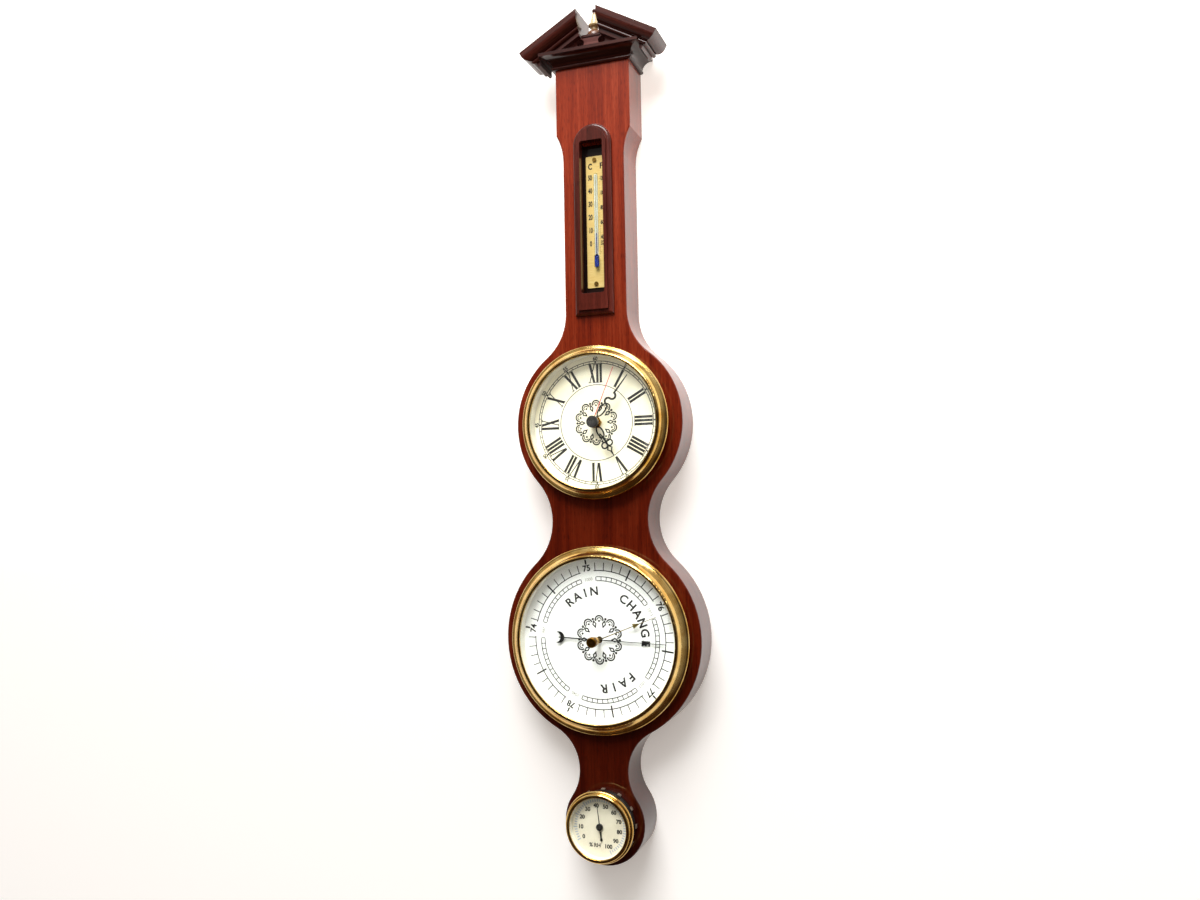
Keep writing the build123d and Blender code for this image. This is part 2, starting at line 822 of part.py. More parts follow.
def hygrometer_grip_ring():
    inner = hygrometer.can_radius + press_clearance
    outer = hygrometer.bore_radius + grip_ring_wall
    body = ring(outer, inner, case_depth, case_depth + grip_ring_height, z=hygrometer_z)
    claw_reach = outer + grip_claw_length
    claw = Pos(0, (outer + claw_reach) / 2 - grip_ring_wall / 4) * Rectangle(
        grip_claw_width, grip_claw_length + grip_ring_wall / 2)
    for number in range(grip_claw_count):
        turned_claw = Rot(0, 0, number * 360 / grip_claw_count) * claw
        body += plate(turned_claw, case_depth, case_depth + grip_claw_height, z=hygrometer_z)
    return body


# Quartz movement
movement_front = clock.dial_back
movement_back = movement_front - movement_depth
movement_top = movement_width - movement_below_arbor
battery_room_height = 2 * (battery_radius + battery_clearance)
partition_z = -movement_below_arbor + movement_wall + battery_room_height
change_centre = wheel_module * (cannon_teeth + change_wheel_teeth) / 2
hour_module = 2 * change_centre / (change_pinion_teeth + hour_wheel_teeth)
cannon_start = movement_back + movement_wall + wheel_thickness + 2 * wheel_gap
cannon_end = cannon_start + wheel_thickness
hour_wheel_start = cannon_end + wheel_gap
hour_wheel_end = hour_wheel_start + wheel_thickness
bush_end = movement_front + bush_length
hour_hand_start = bush_end + first_hand_gap
minute_hand_start = hour_hand_start + hand_thickness + hand_step
seconds_hand_start = minute_hand_start + hand_thickness + hand_step
bush_bore = hour_tube_radius + running_clearance


def gear_room():
    height = movement_top - movement_wall - partition_z - movement_wall
    centre = (movement_top - movement_wall + partition_z + movement_wall) / 2
    return Pos(0, centre) * Rectangle(movement_width - 2 * movement_wall, height)


def movement_housing():
    middle = (movement_top - movement_below_arbor) / 2
    outline = Pos(0, middle) * RectangleRounded(movement_width, movement_width, movement_wall)
    box = plate(outline, movement_back, movement_front, z=clock_z)
    box -= plate(gear_room(), movement_back, movement_front - movement_wall, z=clock_z)
    battery_middle = -movement_below_arbor + movement_wall + battery_room_height / 2
    battery_room_length = battery_length + 2 * battery_clearance
    battery_room = Pos(0, battery_middle) * Rectangle(battery_room_length, battery_room_height)
    box -= plate(battery_room, movement_back, movement_front - movement_wall, z=clock_z)
    return box - rod(bush_radius, movement_front - movement_wall, movement_front, z=clock_z)


def movement_rear_cover():
    end = movement_back + movement_wall
    cover = plate(gear_room(), movement_back, end, z=clock_z)
    cover -= rod(seconds_arbor_radius + running_clearance, movement_back, end, z=clock_z)
    return cover - rod(minute_tube_radius + running_clearance, movement_back, end, -change_centre, clock_z)


def movement_bush():
    flange_back = movement_front - movement_wall - bush_flange_thickness
    body = rod(bush_radius - press_clearance, movement_front - movement_wall, bush_end, z=clock_z)
    body += rod(bush_flange_radius, flange_back, movement_front - movement_wall, z=clock_z)
    return body - rod(bush_bore, flange_back, bush_end, z=clock_z)


def dial_nut():
    body = plate(RegularPolygon(dial_nut_radius, 6), clock.dial_front, clock.dial_front + dial_nut_thickness,
                 z=clock_z)
    return body - rod(bush_radius + press_clearance, clock.dial_front, clock.dial_front + dial_nut_thickness,
                      z=clock_z)


def battery():
    middle = -movement_below_arbor + movement_wall + battery_room_height / 2
    distance = movement_front - movement_wall - battery_clearance - battery_radius
    start = Plane((-battery_length / 2, -distance, clock_z + middle), x_dir=(0, 1, 0), z_dir=(1, 0, 0))
    body = extrude(start * Circle(battery_radius), amount=battery_length - battery_cap_length)
    body = fillet(body.edges(), battery_cap_length / 2)
    return body + extrude(start * Circle(battery_cap_radius), amount=battery_length)


def motor_coil():
    room_side = movement_width / 2 - movement_wall
    x = room_side - 2 * coil_radius
    core = Plane((x, -(movement_front - movement_wall - coil_radius), clock_z - coil_length / 2))
    winding = extrude(core * Circle(coil_radius), amount=coil_length)
    flange = extrude(core * Rectangle(2 * coil_radius, 2 * coil_radius), amount=bobbin_flange)
    return winding + flange + Pos(0, 0, coil_length - bobbin_flange) * flange


def circuit_board():
    room_side = movement_width / 2 - movement_wall
    x = room_side - circuit_board_width / 2
    start = movement_back + movement_wall
    outline = Pos(x, 0) * Rectangle(circuit_board_width, circuit_board_height)
    return plate(outline, start, start + circuit_board_thickness, z=clock_z)


# Motion work and hands
def strip(length_from, width_from, length_to, width_to):
    return polygon((-width_from / 2, length_from), (width_from / 2, length_from), (width_to / 2, length_to),
                   (-width_to / 2, length_to))


def hoop(radius, wall, x, y):
    return Pos(x, y) * (Circle(radius) - Circle(radius - wall))


def diamond(width, length):
    return polygon((0, -length / 2), (width / 2, 0), (0, length / 2), (-width / 2, 0))


def pierced_leaf(first, length):
    leaf = Ellipse(leaf_width / 2, length / 2) - Ellipse(leaf_width / 2 - leaf_wall, length / 2 - leaf_wall)
    return Pos(0, first + length / 2) * leaf


def half_hoop(radius, wall, side):
    keep = Pos(side * radius, 0) * Rectangle(2 * radius, 2 * radius)
    return (Circle(radius) - Circle(radius - wall)) & keep


def minute_hand_outline():
    leaf_end = minute_leaf_start + minute_leaf_length
    wave_end = leaf_end + 4 * minute_wave_radius - 2 * hand_width
    outline = Circle(hand_boss_radius) + strip(0, hand_width, minute_leaf_start + leaf_wall, hand_width)
    outline += pierced_leaf(minute_leaf_start, minute_leaf_length)
    first_bend = leaf_end + minute_wave_radius - hand_width
    outline += Pos(0, first_bend) * half_hoop(minute_wave_radius, hand_width, -1)
    outline += Pos(0, wave_end - minute_wave_radius) * half_hoop(minute_wave_radius, hand_width, 1)
    return outline + strip(wave_end - hand_width, hand_width, minute_hand_length, hand_tip_width)


def hour_hand_outline():
    leaf_end = hour_leaf_start + hour_leaf_length
    outline = Circle(hand_boss_radius) + strip(0, hand_width, hour_leaf_start + leaf_wall, hand_width)
    outline += pierced_leaf(hour_leaf_start, hour_leaf_length)
    lozenge_start = hour_ring_place + leaf_wall
    lozenge_end = lozenge_start + hour_lozenge_length
    outline += strip(leaf_end - leaf_wall, hand_width, lozenge_start + leaf_wall, hand_width)
    ring_offset = hour_ring_radius - leaf_wall / 2
    for side in (-1, 1):
        outline += hoop(hour_ring_radius, leaf_wall, side * ring_offset, hour_ring_place)
    lozenge = diamond(hour_lozenge_width, hour_lozenge_length)
    lozenge -= diamond(hour_lozenge_width - 2 * leaf_wall, hour_lozenge_length - 2 * leaf_wall)
    outline += Pos(0, (lozenge_start + lozenge_end) / 2) * lozenge
    return outline + strip(lozenge_end - leaf_wall, hand_width, hour_hand_length, hand_tip_width)


def minute_hand():
    hand = plate(Rot(0, 0, -minute_hand_angle) * minute_hand_outline(), minute_hand_start,
                 minute_hand_start + hand_thickness, z=clock_z)
    return hand - rod(minute_tube_radius, minute_hand_start, minute_hand_start + hand_thickness, z=clock_z)


def minute_tube():
    bore = seconds_arbor_radius + running_clearance
    body = ring(minute_tube_radius - press_clearance, bore, cannon_start,
                minute_hand_start + hand_thickness + hand_step / 3, z=clock_z)
    pinion = plate(toothed(cannon_teeth, wheel_module, -90), cannon_start, cannon_end, z=clock_z)
    return body + (pinion - rod(bore, cannon_start, cannon_end, z=clock_z))


def hour_hand():
    hand = plate(Rot(0, 0, -hour_hand_angle) * hour_hand_outline(), hour_hand_start,
                 hour_hand_start + hand_thickness, z=clock_z)
    return hand - rod(hour_tube_radius, hour_hand_start, hour_hand_start + hand_thickness, z=clock_z)


def hour_wheel():
    tube_end = hour_hand_start + hand_thickness + hand_step / 3
    gap_to_pinion = -90 + 180 / hour_wheel_teeth
    teeth = toothed(hour_wheel_teeth, hour_module, gap_to_pinion)
    body = rod(hour_tube_radius - press_clearance, hour_wheel_start, tube_end, z=clock_z)
    body += plate(teeth, hour_wheel_start, hour_wheel_end, z=clock_z)
    return body - rod(minute_tube_radius + running_clearance, hour_wheel_start, tube_end, z=clock_z)


def seconds_hand():
    angle = Rot(0, 0, -seconds_hand_angle)
    outline = Circle(hand_boss_radius)
    outline += strip(0, seconds_hand_width, seconds_hand_length, seconds_hand_width / 2)
    cap_start = seconds_hand_start + hand_thickness
    hand = plate(angle * outline, seconds_hand_start, cap_start, z=clock_z)
    cap = rod(hub_radius, cap_start, cap_start + hub_height, z=clock_z)
    cap = fillet(cap.faces().sort_by(Axis.Y)[0].edges(), hub_height / 3)
    return hand + cap - rod(seconds_arbor_radius, seconds_hand_start, cap_start + hub_height / 2, z=clock_z)


def seconds_arbor():
    wheel_start = movement_back + movement_wall + wheel_gap
    body = rod(seconds_arbor_radius - press_clearance, movement_back, seconds_hand_start + hand_thickness
               + hub_height / 2, z=clock_z)
    return body + rod(seconds_wheel_radius, wheel_start, wheel_start + wheel_thickness, z=clock_z)


def change_wheel():
    x = -change_centre
    gap_to_cannon = 90 + 180 / change_wheel_teeth
    teeth = toothed(change_wheel_teeth, wheel_module, gap_to_cannon)
    body = plate(teeth, cannon_start, cannon_end, x, clock_z)
    body += plate(toothed(change_pinion_teeth, hour_module, 90), cannon_end, hour_wheel_end, x, clock_z)
    body += rod(minute_tube_radius, movement_back - knob_gap, cannon_start, x, clock_z)
    return body


def time_setting_knob():
    end = movement_back - knob_gap
    body = rod(knob_radius, end - knob_thickness, end, x=-change_centre, z=clock_z)
    for number in range(knob_notches):
        x, z = at_angle(knob_radius, number * 360 / knob_notches)
        body -= rod(knob_notch_radius, end - knob_thickness, end, x - change_centre, z + clock_z)
    return body


# Barometer movement
base_plate_radius = pillar_spacing / 2 + base_plate_margin
base_plate_front = barometer.can_back + can_wall + base_plate_thickness
capsule_front = base_plate_front + capsule_thickness
arbor_back = bridge_distance - bridge_bush_length
pinion_start = bridge_distance + bridge_thickness + face_clearance
sector_centre = sector_module * (arbor_pinion_teeth + sector_teeth_full_circle) / 2
pressure_hand_start = barometer.dial_front + 3 * hand_thickness
set_hand_start = pressure_hand_start + hand_thickness + set_hand_gap
set_nut_start = barometer.glass_inside + glass_thickness


def adjuster_hole():
    radius = adjuster_radius + pivot_clearance
    return rod(radius, barometer.can_back, base_plate_front, z=barometer_z - adjuster_place)


def barometer_can():
    return instrument_can(barometer, 0) - adjuster_hole()


def barometer_base_plate():
    body = rod(base_plate_radius, barometer.can_back + can_wall, base_plate_front, z=barometer_z)
    for side in (-1, 1):
        body += rod(pillar_radius, base_plate_front, bridge_distance, side * pillar_spacing / 2, barometer_z)
    return body - adjuster_hole()


def aneroid_capsule():
    points = [(0, base_plate_front), (capsule_radius, base_plate_front), (capsule_radius, capsule_front)]
    for number in range(capsule_ribs):
        outer = capsule_radius * (capsule_ribs - number) / (capsule_ribs + 1)
        points.append((outer, capsule_front - (number % 2) * capsule_rib))
    points.append((0, capsule_front - capsule_rib))
    body = turned_polygon(points, barometer_z)
    stud_end = capsule_front + capsule_stud_length
    return body + rod(capsule_stud_radius, capsule_front - 2 * capsule_rib, stud_end, z=barometer_z)


def main_spring():
    low = base_plate_front
    high = capsule_front + capsule_stud_length
    heel = spring_reach
    foot = heel - 4 * spring_thickness
    wall = heel - spring_thickness
    tip = capsule_stud_radius
    outline = [
        (-heel, -low),
        (-foot, -low),
        (-foot, -low - spring_thickness),
        (-wall, -low - spring_thickness),
        (-wall, -high),
        (tip, -high),
        (tip, -high - spring_thickness),
        (-heel, -high - spring_thickness),
    ]
    start = Plane.XY.offset(barometer_z - spring_width / 2)
    return extrude(start * polygon(*outline), amount=spring_width)


def barometer_bridge():
    outline = SlotOverall(pillar_spacing + bridge_width, bridge_width)
    front = bridge_distance + bridge_thickness
    body = plate(outline, bridge_distance, front, z=barometer_z)
    body += rod(bridge_bush_radius, arbor_back, bridge_distance, z=barometer_z)
    body -= rod(arbor_radius + running_clearance, arbor_back, front, z=barometer_z)
    post_end = pinion_start + sector_thickness + face_clearance
    head_end = post_end + bridge_thickness / 2
    body += rod(sector_post_radius, bridge_distance, post_end, -sector_centre, barometer_z)
    return body + rod(2 * sector_post_radius, post_end, head_end, -sector_centre, barometer_z)


def sector_gear():
    start = pinion_start
    end = start + sector_thickness
    pitch_radius = sector_module * sector_teeth_full_circle / 2
    root = pitch_radius - 1.1 * sector_module
    first = 90 + 180 / sector_teeth_full_circle
    spread = 360 / sector_teeth_full_circle * (sector_teeth + 1) / 2
    wedge = polygon((0, 0), at_angle(2 * root, 90 - spread), at_angle(2 * root, 90 + spread))
    whole_wheel = toothed(sector_teeth_full_circle, sector_module, first)
    rim = (whole_wheel - Circle(root - sector_rim_width)) & wedge
    arm = Pos(root / 2, 0) * Rectangle(root, sector_arm_width)
    body = plate(rim + arm + Circle(sector_hub_radius), start, end, -sector_centre, barometer_z)
    return body - rod(sector_post_radius + running_clearance, start, end, -sector_centre, barometer_z)


def pressure_arbor():
    teeth = toothed(arbor_pinion_teeth, sector_module, -90)
    body = rod(arbor_radius, arbor_back, pressure_hand_start + hand_thickness, z=barometer_z)
    return body + plate(teeth, pinion_start, pinion_start + sector_thickness, z=barometer_z)


def arrow(place):
    return polygon((-arrow_width / 2, place), (arrow_width / 2, place), (0, place + arrow_length))


def pressure_hand():
    tail = -pressure_tail_length
    outline = strip(tail, pressure_hand_width, pressure_hand_length, pressure_hand_width / 2)
    outline += arrow(arrow_place)
    crescent = Pos(0, tail) * Circle(crescent_radius)
    outline += crescent - Pos(0, tail - crescent_radius / 2) * Circle(0.85 * crescent_radius)
    outline += Circle(hand_boss_radius / 2)
    end = pressure_hand_start + hand_thickness
    hand = plate(Rot(0, 0, -pressure_hand_angle) * outline, pressure_hand_start, end, z=barometer_z)
    return hand - rod(arbor_radius + press_clearance, pressure_hand_start, end, z=barometer_z)


def set_hand():
    outline = strip(0, set_hand_width, set_hand_length, set_hand_width / 2)
    outline += arrow(set_arrow_place) + Circle(hand_boss_radius / 2)
    hand = plate(Rot(0, 0, -set_hand_angle) * outline, set_hand_start, set_hand_start + hand_thickness,
                 z=barometer_z)
    return hand - rod(set_shaft_radius, set_hand_start, set_hand_start + hand_thickness, z=barometer_z)


set_bush_radius = set_nut_radius - set_shaft_radius / 2


def set_shaft_bush():
    start = set_nut_start
    inside = barometer.glass_inside
    bore = set_shaft_radius + running_clearance
    sleeve_start = inside - set_nut_thickness / 2
    sleeve_end = start + set_nut_thickness / 2
    body = ring(set_bush_radius - press_clearance, bore, sleeve_start, sleeve_end, z=barometer_z)
    body += ring(set_nut_radius, bore, start, start + set_nut_thickness, z=barometer_z)
    return body + ring(set_nut_radius, bore, inside - set_nut_thickness, inside - seat_gap, z=barometer_z)


def set_knob():
    start = set_nut_start + set_nut_thickness + pivot_clearance
    neck_end = start + set_neck_length
    end = neck_end + set_knob_length
    body = rod(set_shaft_radius - press_clearance, set_hand_start, start, z=barometer_z)
    body += rod(set_knob_neck, start, neck_end, z=barometer_z)
    head = rod(set_knob_radius, neck_end, end, z=barometer_z)
    head = fillet(head.faces().sort_by(Axis.Y)[0].edges(), set_knob_radius / 4)
    return body + head


def adjusting_screw():
    back = barometer.can_back
    end = base_plate_front + adjuster_head_height
    body = rod(adjuster_radius, back, end, z=barometer_z - adjuster_place)
    slot = Rectangle(2 * adjuster_head_radius, adjuster_radius / 3)
    head = rod(adjuster_head_radius, back - adjuster_head_height - pivot_clearance, back - pivot_clearance,
               z=barometer_z - adjuster_place)
    head += rod(adjuster_radius, back - pivot_clearance, back, z=barometer_z - adjuster_place)
    head -= plate(slot, back - adjuster_head_height - pivot_clearance,
                  back - adjuster_head_height / 2 - pivot_clearance, z=barometer_z - adjuster_place)
    return body + head


# Hygrometer movement
yoke_distance = hygrometer.dial_back - yoke_distance_behind_dial
needle_start = hygrometer.dial_front + needle_gap
coil_start = yoke_distance + yoke_thickness + face_clearance


def hygrometer_yoke():
    start = yoke_distance
    end = start + yoke_thickness
    reach = coil_inner_radius + coil_pitch * (coil_half_turns + 2)
    post_place = reach / 2 + yoke_post_radius
    outline = SlotOverall(2 * post_place + yoke_width, yoke_width)
    body = plate(outline, start, end, z=hygrometer_z)
    for side in (-1, 1):
        body += rod(yoke_post_radius, end, hygrometer.dial_back, side * post_place, hygrometer_z)
    return body - rod(humidity_arbor_radius + running_clearance, start, end, z=hygrometer_z)


def humidity_coil():
    outline = None
    for number in range(coil_half_turns):
        radius = coil_inner_radius + number * coil_pitch / 2
        side = 1 if number % 2 == 0 else -1
        centre = 0 if number % 2 == 0 else coil_pitch / 2
        reach = radius + coil_pitch
        keep = Pos(0, side * reach) * Rectangle(4 * reach, 2 * reach)
        half = (Circle(radius + coil_strip / 2) - Circle(radius - coil_strip / 2)) & keep
        half = Pos(centre, 0) * half
        outline = half if outline is None else outline + half
    return plate(outline, coil_start, coil_start + coil_strip_width, z=hygrometer_z)


def hygrometer_needle():
    outline = strip(-needle_tail_length, 2 * needle_width, needle_length, needle_width / 2)
    outline += Pos(0, -needle_tail_length) * Circle(1.6 * needle_width)
    outline += Circle(needle_hub_radius)
    cap_start = needle_start + needle_thickness
    needle = plate(Rot(0, 0, -needle_angle) * outline, needle_start, cap_start, z=hygrometer_z)
    cap = rod(needle_hub_radius, cap_start, cap_start + needle_hub_height, z=hygrometer_z)
    cap = fillet(cap.faces().sort_by(Axis.Y)[0].edges(), needle_hub_height / 3)
    staff = rod(humidity_arbor_radius, yoke_distance - yoke_thickness, needle_start, z=hygrometer_z)
    collet_radius = coil_inner_radius - coil_strip / 2 - pivot_clearance
    collet = rod(collet_radius, coil_start, coil_start + coil_strip_width, z=hygrometer_z)
    return needle + cap + staff + collet


# Every piece, by the name of its file
cornice_front, cornice_return_left, cornice_return_right = cornice_pieces()
right_rake = rake_right()
pieces = {
    "case_body": case_body(),
    "hanger_plate": hanger_plate(),
    "small_screws": small_screws(),
    "cornice_front": cornice_front,
    "cornice_return_left": cornice_return_left,
    "cornice_return_right": cornice_return_right,
    "pediment_rake_right": right_rake,
    "pediment_rake_left": mirror(right_rake, about=Plane.YZ),
    "tympanum": tympanum(),
    "finial_plinth": finial_plinth(),
    "finial": finial(),
    "thermometer_frame": thermometer_frame(),
    "thermometer_scale": thermometer_scale(),
    "thermometer_tube": thermometer_tube(),
    "thermometer_spirit": thermometer_spirit(),
    "clock_can": instrument_can(clock, clock_back_opening),
    "clock_dial": instrument_dial(clock, bush_radius + press_clearance),
    "clock_reflector": instrument_reflector(clock),
    "clock_glass": instrument_glass(clock, 0),
    "clock_bezel": instrument_bezel(clock),
    "movement_housing": movement_housing(),
    "movement_rear_cover": movement_rear_cover(),
    "movement_bush": movement_bush(),
    "dial_nut": dial_nut(),
    "battery": battery(),
    "motor_coil": motor_coil(),
    "circuit_board": circuit_board(),
    "minute_hand": minute_hand(),
    "minute_tube": minute_tube(),
    "hour_hand": hour_hand(),
    "hour_wheel": hour_wheel(),
    "seconds_hand": seconds_hand(),
    "seconds_arbor": seconds_arbor(),
    "change_wheel": change_wheel(),
    "time_setting_knob": time_setting_knob(),
    "barometer_can": barometer_can(),
    "barometer_dial": instrument_dial(barometer, 3 * arbor_radius),
    "barometer_reflector": instrument_reflector(barometer),
    "barometer_glass": instrument_glass(barometer, set_bush_radius),
    "barometer_bezel": instrument_bezel(barometer),
    "barometer_base_plate": barometer_base_plate(),
    "aneroid_capsule": aneroid_capsule(),
    "main_spring": main_spring(),
    "barometer_bridge": barometer_bridge(),
    "sector_gear": sector_gear(),
    "pressure_arbor": pressure_arbor(),
    "pressure_hand": pressure_hand(),
    "set_hand": set_hand(),
    "set_shaft_bush": set_shaft_bush(),
    "set_knob": set_knob(),
    "adjusting_screw": adjusting_screw(),
    "hygrometer_can": instrument_can(hygrometer, 0),
    "hygrometer_dial": instrument_dial(hygrometer, 2 * humidity_arbor_radius),
    "hygrometer_reflector": instrument_reflector(hygrometer),
    "hygrometer_glass": instrument_glass(hygrometer, 0),
    "hygrometer_bezel": instrument_bezel(hygrometer),
    "hygrometer_grip_ring": hygrometer_grip_ring(),
    "hygrometer_yoke": hygrometer_yoke(),
    "humidity_coil": humidity_coil(),
    "hygrometer_needle": hygrometer_needle(),
}

os.makedirs("parts", exist_ok=True)
for name, piece in pieces.items():
    export_step(piece, f"parts/{name}.step")
print(len(pieces), "pieces")
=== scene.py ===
import math

import bpy
from mathutils import Matrix


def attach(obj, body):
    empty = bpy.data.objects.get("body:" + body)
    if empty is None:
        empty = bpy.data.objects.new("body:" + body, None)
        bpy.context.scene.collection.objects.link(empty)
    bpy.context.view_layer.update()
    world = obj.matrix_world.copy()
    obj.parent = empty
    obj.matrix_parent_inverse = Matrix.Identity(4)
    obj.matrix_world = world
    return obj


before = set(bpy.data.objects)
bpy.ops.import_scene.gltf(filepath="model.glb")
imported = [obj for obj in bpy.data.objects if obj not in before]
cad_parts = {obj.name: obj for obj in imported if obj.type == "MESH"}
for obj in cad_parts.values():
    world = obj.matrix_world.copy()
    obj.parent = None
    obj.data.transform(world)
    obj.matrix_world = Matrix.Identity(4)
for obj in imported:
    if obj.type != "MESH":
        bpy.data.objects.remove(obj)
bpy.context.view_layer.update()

# A wall weather station: dials printed, wood polished, brass spun, and the room that it hangs in.
# Lengths are written in millimetres and times MM. Distances are measured out from the wall.

MM = 0.001
INK_LIFT = 0.01
INK_THICKNESS = 0.04
MERGE_GAP = 0.002


def face_of(node):
    """The height of a node's middle and the distance of its face from the wall, read from the frame."""
    points = [vertex.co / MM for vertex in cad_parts[node].data.vertices]
    heights = [point.z for point in points]
    middle = (min(heights) + max(heights)) / 2
    face = -min(point.y for point in points)
    return round(middle, 2), round(face, 2)


CLOCK_Z, CLOCK_FACE = face_of("clock_dial")
BAROMETER_Z, BAROMETER_FACE = face_of("barometer_dial")
HYGROMETER_Z, HYGROMETER_FACE = face_of("hygrometer_dial")
SCALE_Z, SCALE_FACE = face_of("thermometer_scale")


# Modelling by hand, flat on the bench, with the top of a dial along Y

def settle(piece):
    """Put the piece's place into its mesh."""
    bpy.ops.object.select_all(action="DESELECT")
    piece.select_set(True)
    bpy.context.view_layer.objects.active = piece
    bpy.ops.object.transform_apply(location=True, rotation=True, scale=True)


def turn(piece, angle):
    """Turn the piece clockwise about the dial's centre."""
    settle(piece)
    piece.rotation_euler.z = -math.radians(angle)
    settle(piece)
    return piece


def stroke(width, low, high, x=0.0, lean=0.0):
    """One straight printed stroke, standing from low to high, with its top moved sideways by lean."""
    middle = (low + high) / 2 * MM
    bpy.ops.mesh.primitive_plane_add(size=MM)
    piece = bpy.context.object
    bpy.ops.object.mode_set(mode="EDIT")
    bpy.ops.transform.resize(value=(width, high - low, 1), center_override=(0, 0, 0))
    bpy.ops.transform.translate(value=(x * MM, middle, 0))
    if lean:
        bpy.ops.mesh.select_all(action="DESELECT")
        bpy.ops.object.mode_set(mode="OBJECT")
        for vertex in piece.data.vertices:
            vertex.select = vertex.co.y > middle
        bpy.ops.object.mode_set(mode="EDIT")
        bpy.ops.transform.translate(value=(lean * MM, 0, 0))
    bpy.ops.object.mode_set(mode="OBJECT")
    return piece


def circle_line(radius, line, sides=180, y=0.0, tall=1.0):
    """A printed circle, or an oval if tall isn't 1."""
    bpy.ops.mesh.primitive_circle_add(vertices=sides, radius=(radius + line / 2) * MM, fill_type="NGON")
    bpy.ops.object.mode_set(mode="EDIT")
    bpy.ops.mesh.inset(thickness=line * MM)
    bpy.ops.mesh.delete(type="FACE")
    bpy.ops.mesh.select_all(action="SELECT")
    bpy.ops.transform.resize(value=(1, tall, 1), center_override=(0, 0, 0))
    bpy.ops.transform.translate(value=(0, y * MM, 0))
    bpy.ops.object.mode_set(mode="OBJECT")
    return bpy.context.object


def cut_away(piece, unwanted):
    """Delete the faces whose centre answers to a test."""
    settle(piece)
    bpy.ops.object.mode_set(mode="EDIT")
    bpy.ops.mesh.select_mode(type="FACE")
    bpy.ops.mesh.select_all(action="DESELECT")
    bpy.ops.object.mode_set(mode="OBJECT")
    for face in piece.data.polygons:
        face.select = unwanted(face.center.x / MM, face.center.y / MM)
    bpy.ops.object.mode_set(mode="EDIT")
    bpy.ops.mesh.delete(type="FACE")
    bpy.ops.mesh.select_mode(type="VERT")
    bpy.ops.object.mode_set(mode="OBJECT")
    return piece


def spot(radius, y, sides=16):
    """A printed spot, inset once."""
    bpy.ops.mesh.primitive_circle_add(vertices=sides, radius=radius * MM, fill_type="NGON")
    bpy.ops.object.mode_set(mode="EDIT")
    bpy.ops.mesh.inset(thickness=radius * MM / 4)
    bpy.ops.mesh.select_all(action="SELECT")
    bpy.ops.transform.translate(value=(0, y * MM, 0))
    bpy.ops.object.mode_set(mode="OBJECT")
    return bpy.context.object


def figures(words, size, x, y, weight, narrow=1.0):
    """Set a number or a letter in plain type, thickened by weight and squeezed sideways by narrow."""
    bpy.ops.object.text_add(location=(x * MM, y * MM, 0))
    type_set = bpy.context.object.data
    type_set.body = words
    type_set.size = size * MM
    type_set.offset = weight * MM
    type_set.align_x = "CENTER"
    type_set.align_y = "CENTER"
    type_set.resolution_u = 4
    bpy.ops.object.convert(target="MESH")
    piece = bpy.context.object
    piece.scale.x = narrow
    settle(piece)
    return piece


def join(pieces):
    """Join several pieces into the first one."""
    bpy.ops.object.select_all(action="DESELECT")
    for piece in pieces:
        piece.select_set(True)
    bpy.context.view_layer.objects.active = pieces[0]
    bpy.ops.object.join()
    settle(pieces[0])
    return pieces[0]


def repeat_round(piece, count, sweep=360.0):
    """Copy the piece round the dial's centre, count in all, over a clockwise sweep or a whole turn."""
    settle(piece)
    gaps = count if sweep == 360.0 else count - 1
    step = math.radians(sweep / gaps)
    bpy.ops.object.mode_set(mode="EDIT")
    bpy.ops.mesh.select_all(action="SELECT")
    bpy.ops.mesh.spin(steps=count - 1, dupli=True, angle=step * (count - 1), use_auto_merge=False,
                      center=(0, 0, 0), axis=(0, 0, 1))
    bpy.ops.object.mode_set(mode="OBJECT")
    return piece


def lay_on_dial(name, pieces, distance, z, ink):
    """Join the strokes of one print, stand them upright on their dial and give them the film of the ink."""
    piece = join(pieces)
    piece.name = name
    piece.rotation_euler.x = math.pi / 2
    piece.location = (0, -(distance + INK_LIFT) * MM, z * MM)
    settle(piece)
    film = piece.modifiers.new("film", "SOLIDIFY")
    film.thickness = INK_THICKNESS * MM
    film.offset = 1.0
    bpy.ops.object.modifier_apply(modifier="film")
    bpy.ops.object.mode_set(mode="EDIT")
    bpy.ops.mesh.select_all(action="SELECT")
    bpy.ops.mesh.remove_doubles(threshold=MERGE_GAP * MM)
    bpy.ops.mesh.normals_make_consistent(inside=False)
    bpy.ops.object.mode_set(mode="OBJECT")
    piece.data.materials.clear()
    piece.data.materials.append(ink)
    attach(piece, "case")


# Finishes

def linear(code):
    """Turn an sRGB hex colour into the linear colour that a shader takes."""
    parts = [int(code[i:i + 2], 16) / 255 for i in (1, 3, 5)]
    return tuple(p / 12.92 if p <= 0.04045 else ((p + 0.055) / 1.055) ** 2.4 for p in parts) + (1.0,)


def new_finish(name):
    """Start an empty material and return it with its node tree."""
    made = bpy.data.materials.new(name)
    made.use_nodes = True
    made.node_tree.nodes.clear()
    return made, made.node_tree


def add(tree, kind, inputs, stops=(), **settings):
    """Add a node with its settings, and feed each input from a socket or with a value."""
    node = tree.nodes.new(kind)
    for name, value in settings.items():
        setattr(node, name, value)
    for name, value in inputs.items():
        if isinstance(value, bpy.types.NodeSocket):
            tree.links.new(value, node.inputs[name])
        else:
            node.inputs[name].default_value = value
    for number, (place, code) in enumerate(stops):
        steps = node.color_ramp.elements
        step = steps[number] if number < 2 else steps.new(place)
        step.position = place
        step.color = linear(code)
    return node


